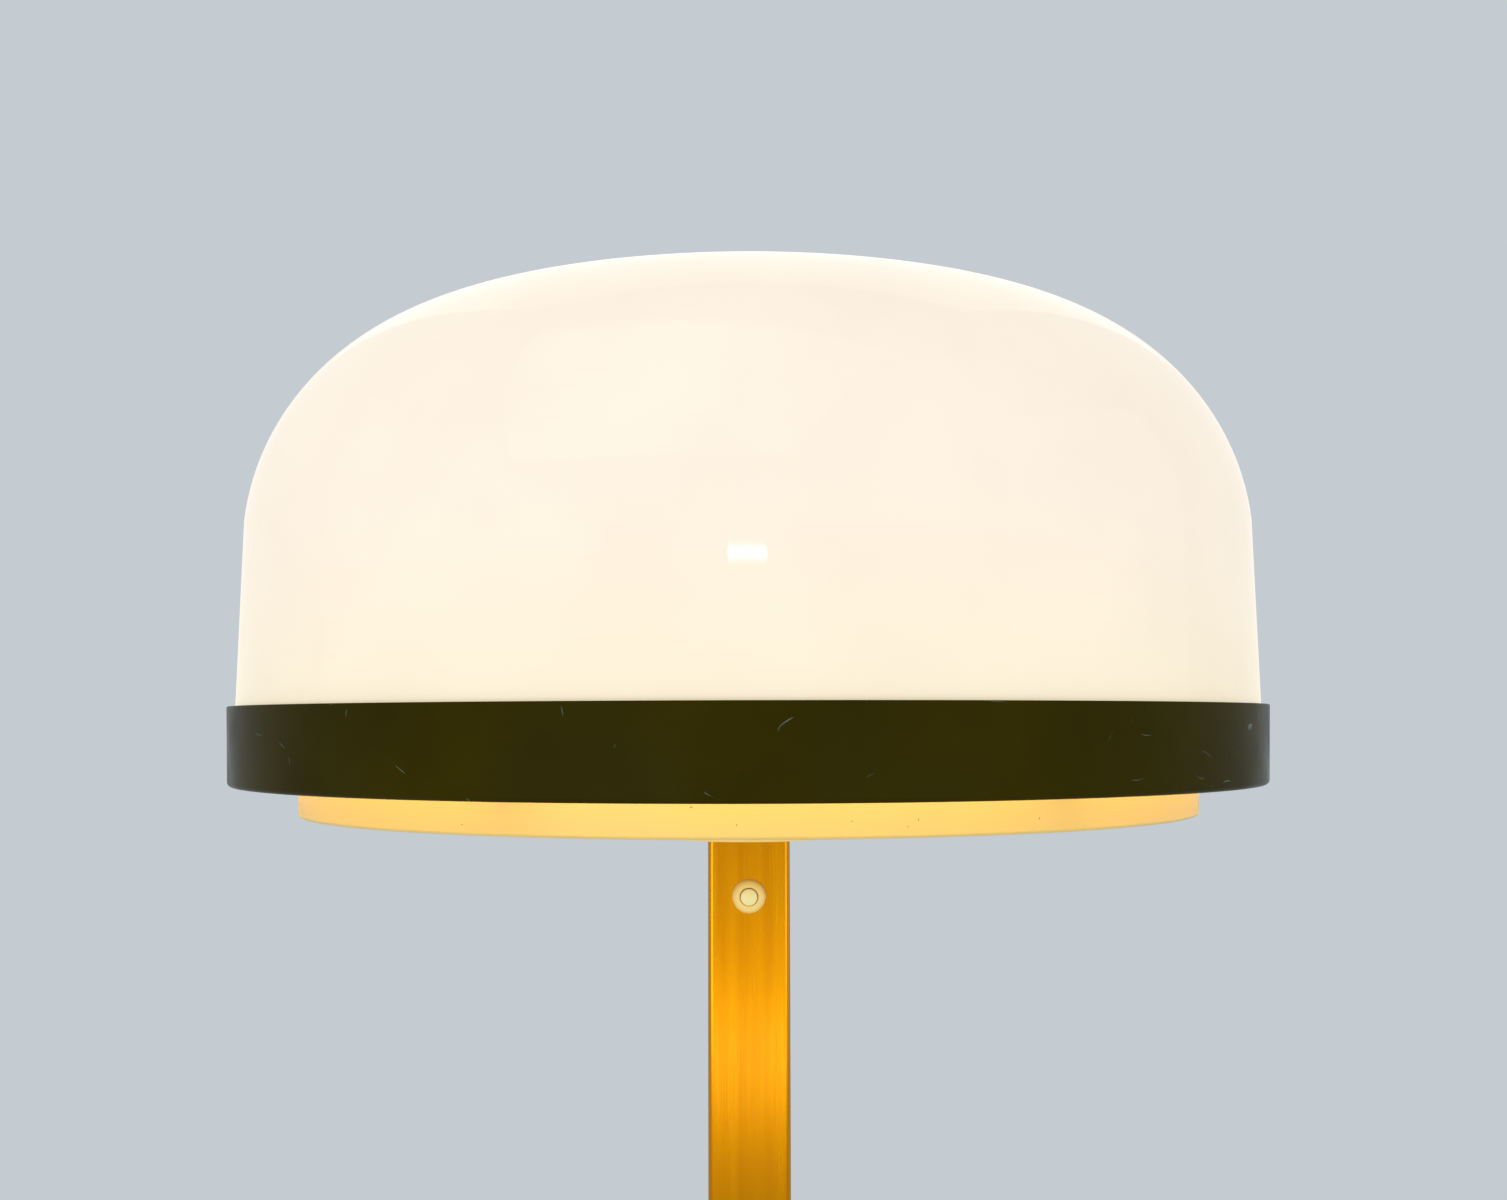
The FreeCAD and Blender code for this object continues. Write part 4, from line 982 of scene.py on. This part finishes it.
# Frosted glass with the filament lit behind it: warm white light all over, deeper at the neck.
@finish
def lit_glass(tree):
    place = add(tree, "TexCoord", output="Object")
    height = add(tree, "SeparateXYZ", {"Vector": place}, "Z")
    neck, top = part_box("bulb_glass_rear")
    height = add(tree, "MapRange", {"Value": height, "From Min": neck.z, "From Max": top.z})
    glow = add(tree, "Mix", {
        "Factor": height, "A": linear("ffc47a"), "B": linear("ffe6bf")}, data_type="RGBA")
    return add(tree, "BsdfPrincipled", {
        "Base Color": linear("f4efe4"), "Roughness": 0.4,
        "Emission Color": glow, "Emission Strength": 1.4})


def flutes(mesh):
    """Sink every second column of faces round the outside of a holder, as a grip for fingers."""
    grip = []
    for face in mesh.faces:
        middle = face.calc_center_median()
        column = math.floor(math.atan2(middle.y, middle.x) / math.tau * HOLDER_STEPS)
        if (column % 2 and abs(face.normal.z) < UPRIGHT and face.calc_area() > FLUTE_AREA * MM ** 2
                and middle.xy.length > FLUTE_OUTSIDE * MM):
            grip.append(face)
    bmesh.ops.inset_individual(mesh, faces=grip, thickness=FLUTE_GAP * MM, depth=-FLUTE_DEPTH * MM)


def arc(across, up, radius, start, end, steps):
    """Points along an arc round a centre, between two angles in degrees."""
    stride = (end - start) / steps
    angles = [math.radians(start + stride * step) for step in range(steps + 1)]
    return [(across + radius * math.cos(angle), up + radius * math.sin(angle))
            for angle in angles]


for side in ("rear", "left", "right"):
    holder_low, holder_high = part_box("lampholder_" + side)
    middle = (holder_low + holder_high) / 2
    upright = Matrix.Translation((middle.x, middle.y, 0))
    radius = reach("lampholder_" + side)
    foot, rim = levels("lampholder_" + side)
    holder = turned("holder_" + side, [
        (NIPPLE_HOLE, foot),
        (radius, foot, HOLDER_EDGE),
        (radius, foot + SEAM_LEVEL),
        (radius - SEAM_DEPTH, foot + SEAM_LEVEL),
        (radius - SEAM_DEPTH, foot + SEAM_LEVEL + SEAM_WIDTH),
        (radius, foot + SEAM_LEVEL + SEAM_WIDTH),
        (radius, rim, HOLDER_EDGE),
        (HOLDER_BORE, rim, HOLDER_LIP),
        (HOLDER_BORE, foot + HOLDER_FLOOR),
        (0, foot + HOLDER_FLOOR),
        (0, foot + NIPPLE_GRIP),
        (NIPPLE_HOLE, foot + NIPPLE_GRIP),
    ], black_phenolic, place=upright, steps=HOLDER_STEPS, shape=flutes)
    fit(holder, "lamp", "moulded_black", "lampholder_" + side)

    shell_foot, shell_top = levels("thread_shell_" + side)
    shell_radius = reach("thread_shell_" + side)
    rolls = [(shell_radius - SHELL_WAVE / 2 * (1 - math.cos(math.tau * step / THREAD_STEPS)),
              shell_foot + THREAD_PITCH * step / THREAD_STEPS)
             for step in range(int(THREAD_STEPS * (shell_top - shell_foot) / THREAD_PITCH) + 1)]
    shell = turned("rolled_shell_" + side, [
        *rolls, (shell_radius, shell_top), (shell_radius - SHELL_WALL, shell_top),
        *[(across - SHELL_WALL, up) for across, up in reversed(rolls)],
    ], plain_brass, place=upright, steps=BULB_STEPS)
    fit(shell, "lamp", "brass_plain", "thread_shell_" + side)

    contact_foot, contact_top = levels("centre_contact_" + side)
    contact_radius = reach("centre_contact_" + side)
    contact = turned("contact_stud_" + side, [
        (0, contact_foot),
        (contact_radius, contact_foot, CONTACT_EDGE),
        (contact_radius, contact_top, CONTACT_CROWN),
        (0, contact_top),
    ], plain_brass, place=upright, steps=CONTACT_STEPS)
    fit(contact, "lamp", "brass_plain", "centre_contact_" + side)

    cap_foot, cap_top = levels("bulb_cap_" + side)
    cap_radius = reach("bulb_cap_" + side)
    turns = int((cap_top - cap_foot - CAP_TIP_HEIGHT) / THREAD_PITCH)
    waves = [(cap_radius - THREAD_DEPTH / 2 * (1 + math.cos(math.tau * step / THREAD_STEPS)),
              cap_foot + CAP_TIP_HEIGHT + THREAD_PITCH * step / THREAD_STEPS)
             for step in range(THREAD_STEPS * turns + 1)]
    cap = turned("screw_cap_" + side, [
        (0, cap_foot),
        (CAP_TIP, cap_foot, CAP_TIP_EDGE),
        *waves,
        (cap_radius - THREAD_DEPTH / 2, cap_top, CAP_EDGE),
        (0, cap_top),
    ], cap_aluminium, place=upright, steps=BULB_STEPS)
    fit(cap, "bulb_" + side, "cap_aluminium", "bulb_cap_" + side)

    glass_foot, glass_top = levels("bulb_glass_" + side)
    ball = glass_top - GLASS_BALL
    slant = math.hypot(GLASS_NECK, ball - glass_foot)
    touch = math.degrees(math.acos(GLASS_BALL / slant)
                         - math.atan((ball - glass_foot) / GLASS_NECK))
    glass = turned("lit_bulb_" + side, [
        (GLASS_NECK, glass_foot),
        *arc(0, ball, GLASS_BALL, touch, GLASS_ARC_END, GLASS_ARC_STEPS),
        (0, glass_top),
        (0, glass_top - GLASS_WALL),
        *reversed(arc(0, ball, GLASS_BALL - GLASS_WALL, touch, GLASS_ARC_END, GLASS_ARC_STEPS)),
        (GLASS_NECK - GLASS_WALL, glass_foot),
    ], lit_glass, place=upright, steps=BULB_STEPS)
    fit(glass, "bulb_" + side, "glass_frosted", "bulb_glass_" + side)


# Dome: one blown shell of opal acrylic that stands on the soft rests inside the band and lifts
# off. Light from the bulbs makes it glow evenly, a little yellower towards its foot.

DOME_WALL = 3
DOME_EDGE = 0.5
DOME_STEPS = 256
SHOULDER_RADIUS = 116.7
SHOULDER_CENTRE = 127.5
SHOULDER_START = 5.7
SHOULDER_STEPS = 28
CROWN_RADIUS = 546.2
CROWN_END = 89.9
CROWN_STEPS = 32
GLOW_FROM = 20
GLOW_TO = 100

# Opal acrylic, seen from outside: white, smooth and glossy, lit from behind.
@finish
def glowing_opal(tree):
    place = add(tree, "TexCoord", output="Object")
    smoke = add(tree, "TexNoise", {"Vector": place, "Scale": cells(60), "Detail": 3})
    smoke = add(tree, "MapRange", {"Value": smoke, "From Min": 0.35, "From Max": 0.65})
    colour = add(tree, "Mix", {
        "Factor": smoke, "A": linear("b4aea6"), "B": linear("b9b3aa")}, data_type="RGBA")
    height = add(tree, "SeparateXYZ", {"Vector": place}, "Z")
    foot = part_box("dome_shade")[0].z
    rise = add(tree, "MapRange", {
        "Value": height, "From Min": foot + GLOW_FROM * MM, "From Max": foot + GLOW_TO * MM})
    glow = add(tree, "Mix", {
        "Factor": rise, "A": linear("b9a780"), "B": linear("baa892")}, data_type="RGBA")
    return add(tree, "BsdfPrincipled", {
        "Base Color": colour, "Roughness": 0.035, "IOR": 1.49,
        "Emission Color": glow, "Emission Strength": 1})


# The same acrylic inside, next to the bulbs: brighter and warmer.
@finish
def glowing_inside(tree):
    place = add(tree, "TexCoord", output="Object")
    haze = add(tree, "TexNoise", {"Vector": place, "Scale": cells(90)})
    glow = add(tree, "Mix", {
        "Factor": haze, "A": linear("f2d49c"), "B": linear("f6dba9")}, data_type="RGBA")
    return add(tree, "BsdfPrincipled", {
        "Base Color": linear("efe6d2"), "Roughness": 0.35,
        "Emission Color": glow, "Emission Strength": 2})


dome_foot, dome_top = levels("dome_shade")
dome_foot_radius = reach("dome_shade")
crown_level = dome_top - CROWN_RADIUS
centre_gap = CROWN_RADIUS - SHOULDER_RADIUS
crown_angle = math.degrees(math.acos(SHOULDER_CENTRE / centre_gap))
shoulder_level = crown_level + math.sqrt(centre_gap ** 2 - SHOULDER_CENTRE ** 2)


def skin(depth):
    """Outline of the dome from its side to its crown, so far inside its outer face."""
    return [*arc(SHOULDER_CENTRE, shoulder_level, SHOULDER_RADIUS - depth, SHOULDER_START,
                 crown_angle, SHOULDER_STEPS)[:-1],
            *arc(0, crown_level, CROWN_RADIUS - depth, crown_angle, CROWN_END, CROWN_STEPS),
            (0, dome_top - depth)]


def line_inside(mesh):
    """Give the faces that look in at the bulbs the second material."""
    inside = Vector((0, 0, dome_foot * MM))
    for face in mesh.faces:
        if face.normal.dot(face.calc_center_median() - inside) < 0:
            face.material_index = 1


dome = turned("opal_dome", [
    (dome_foot_radius, dome_foot, DOME_EDGE),
    *skin(0),
    *reversed(skin(DOME_WALL)),
    (dome_foot_radius - DOME_WALL, dome_foot, DOME_EDGE),
], glowing_opal, glowing_inside, steps=DOME_STEPS, shape=line_inside)
fit(dome, "dome", "acrylic_opal", "dome_shade")
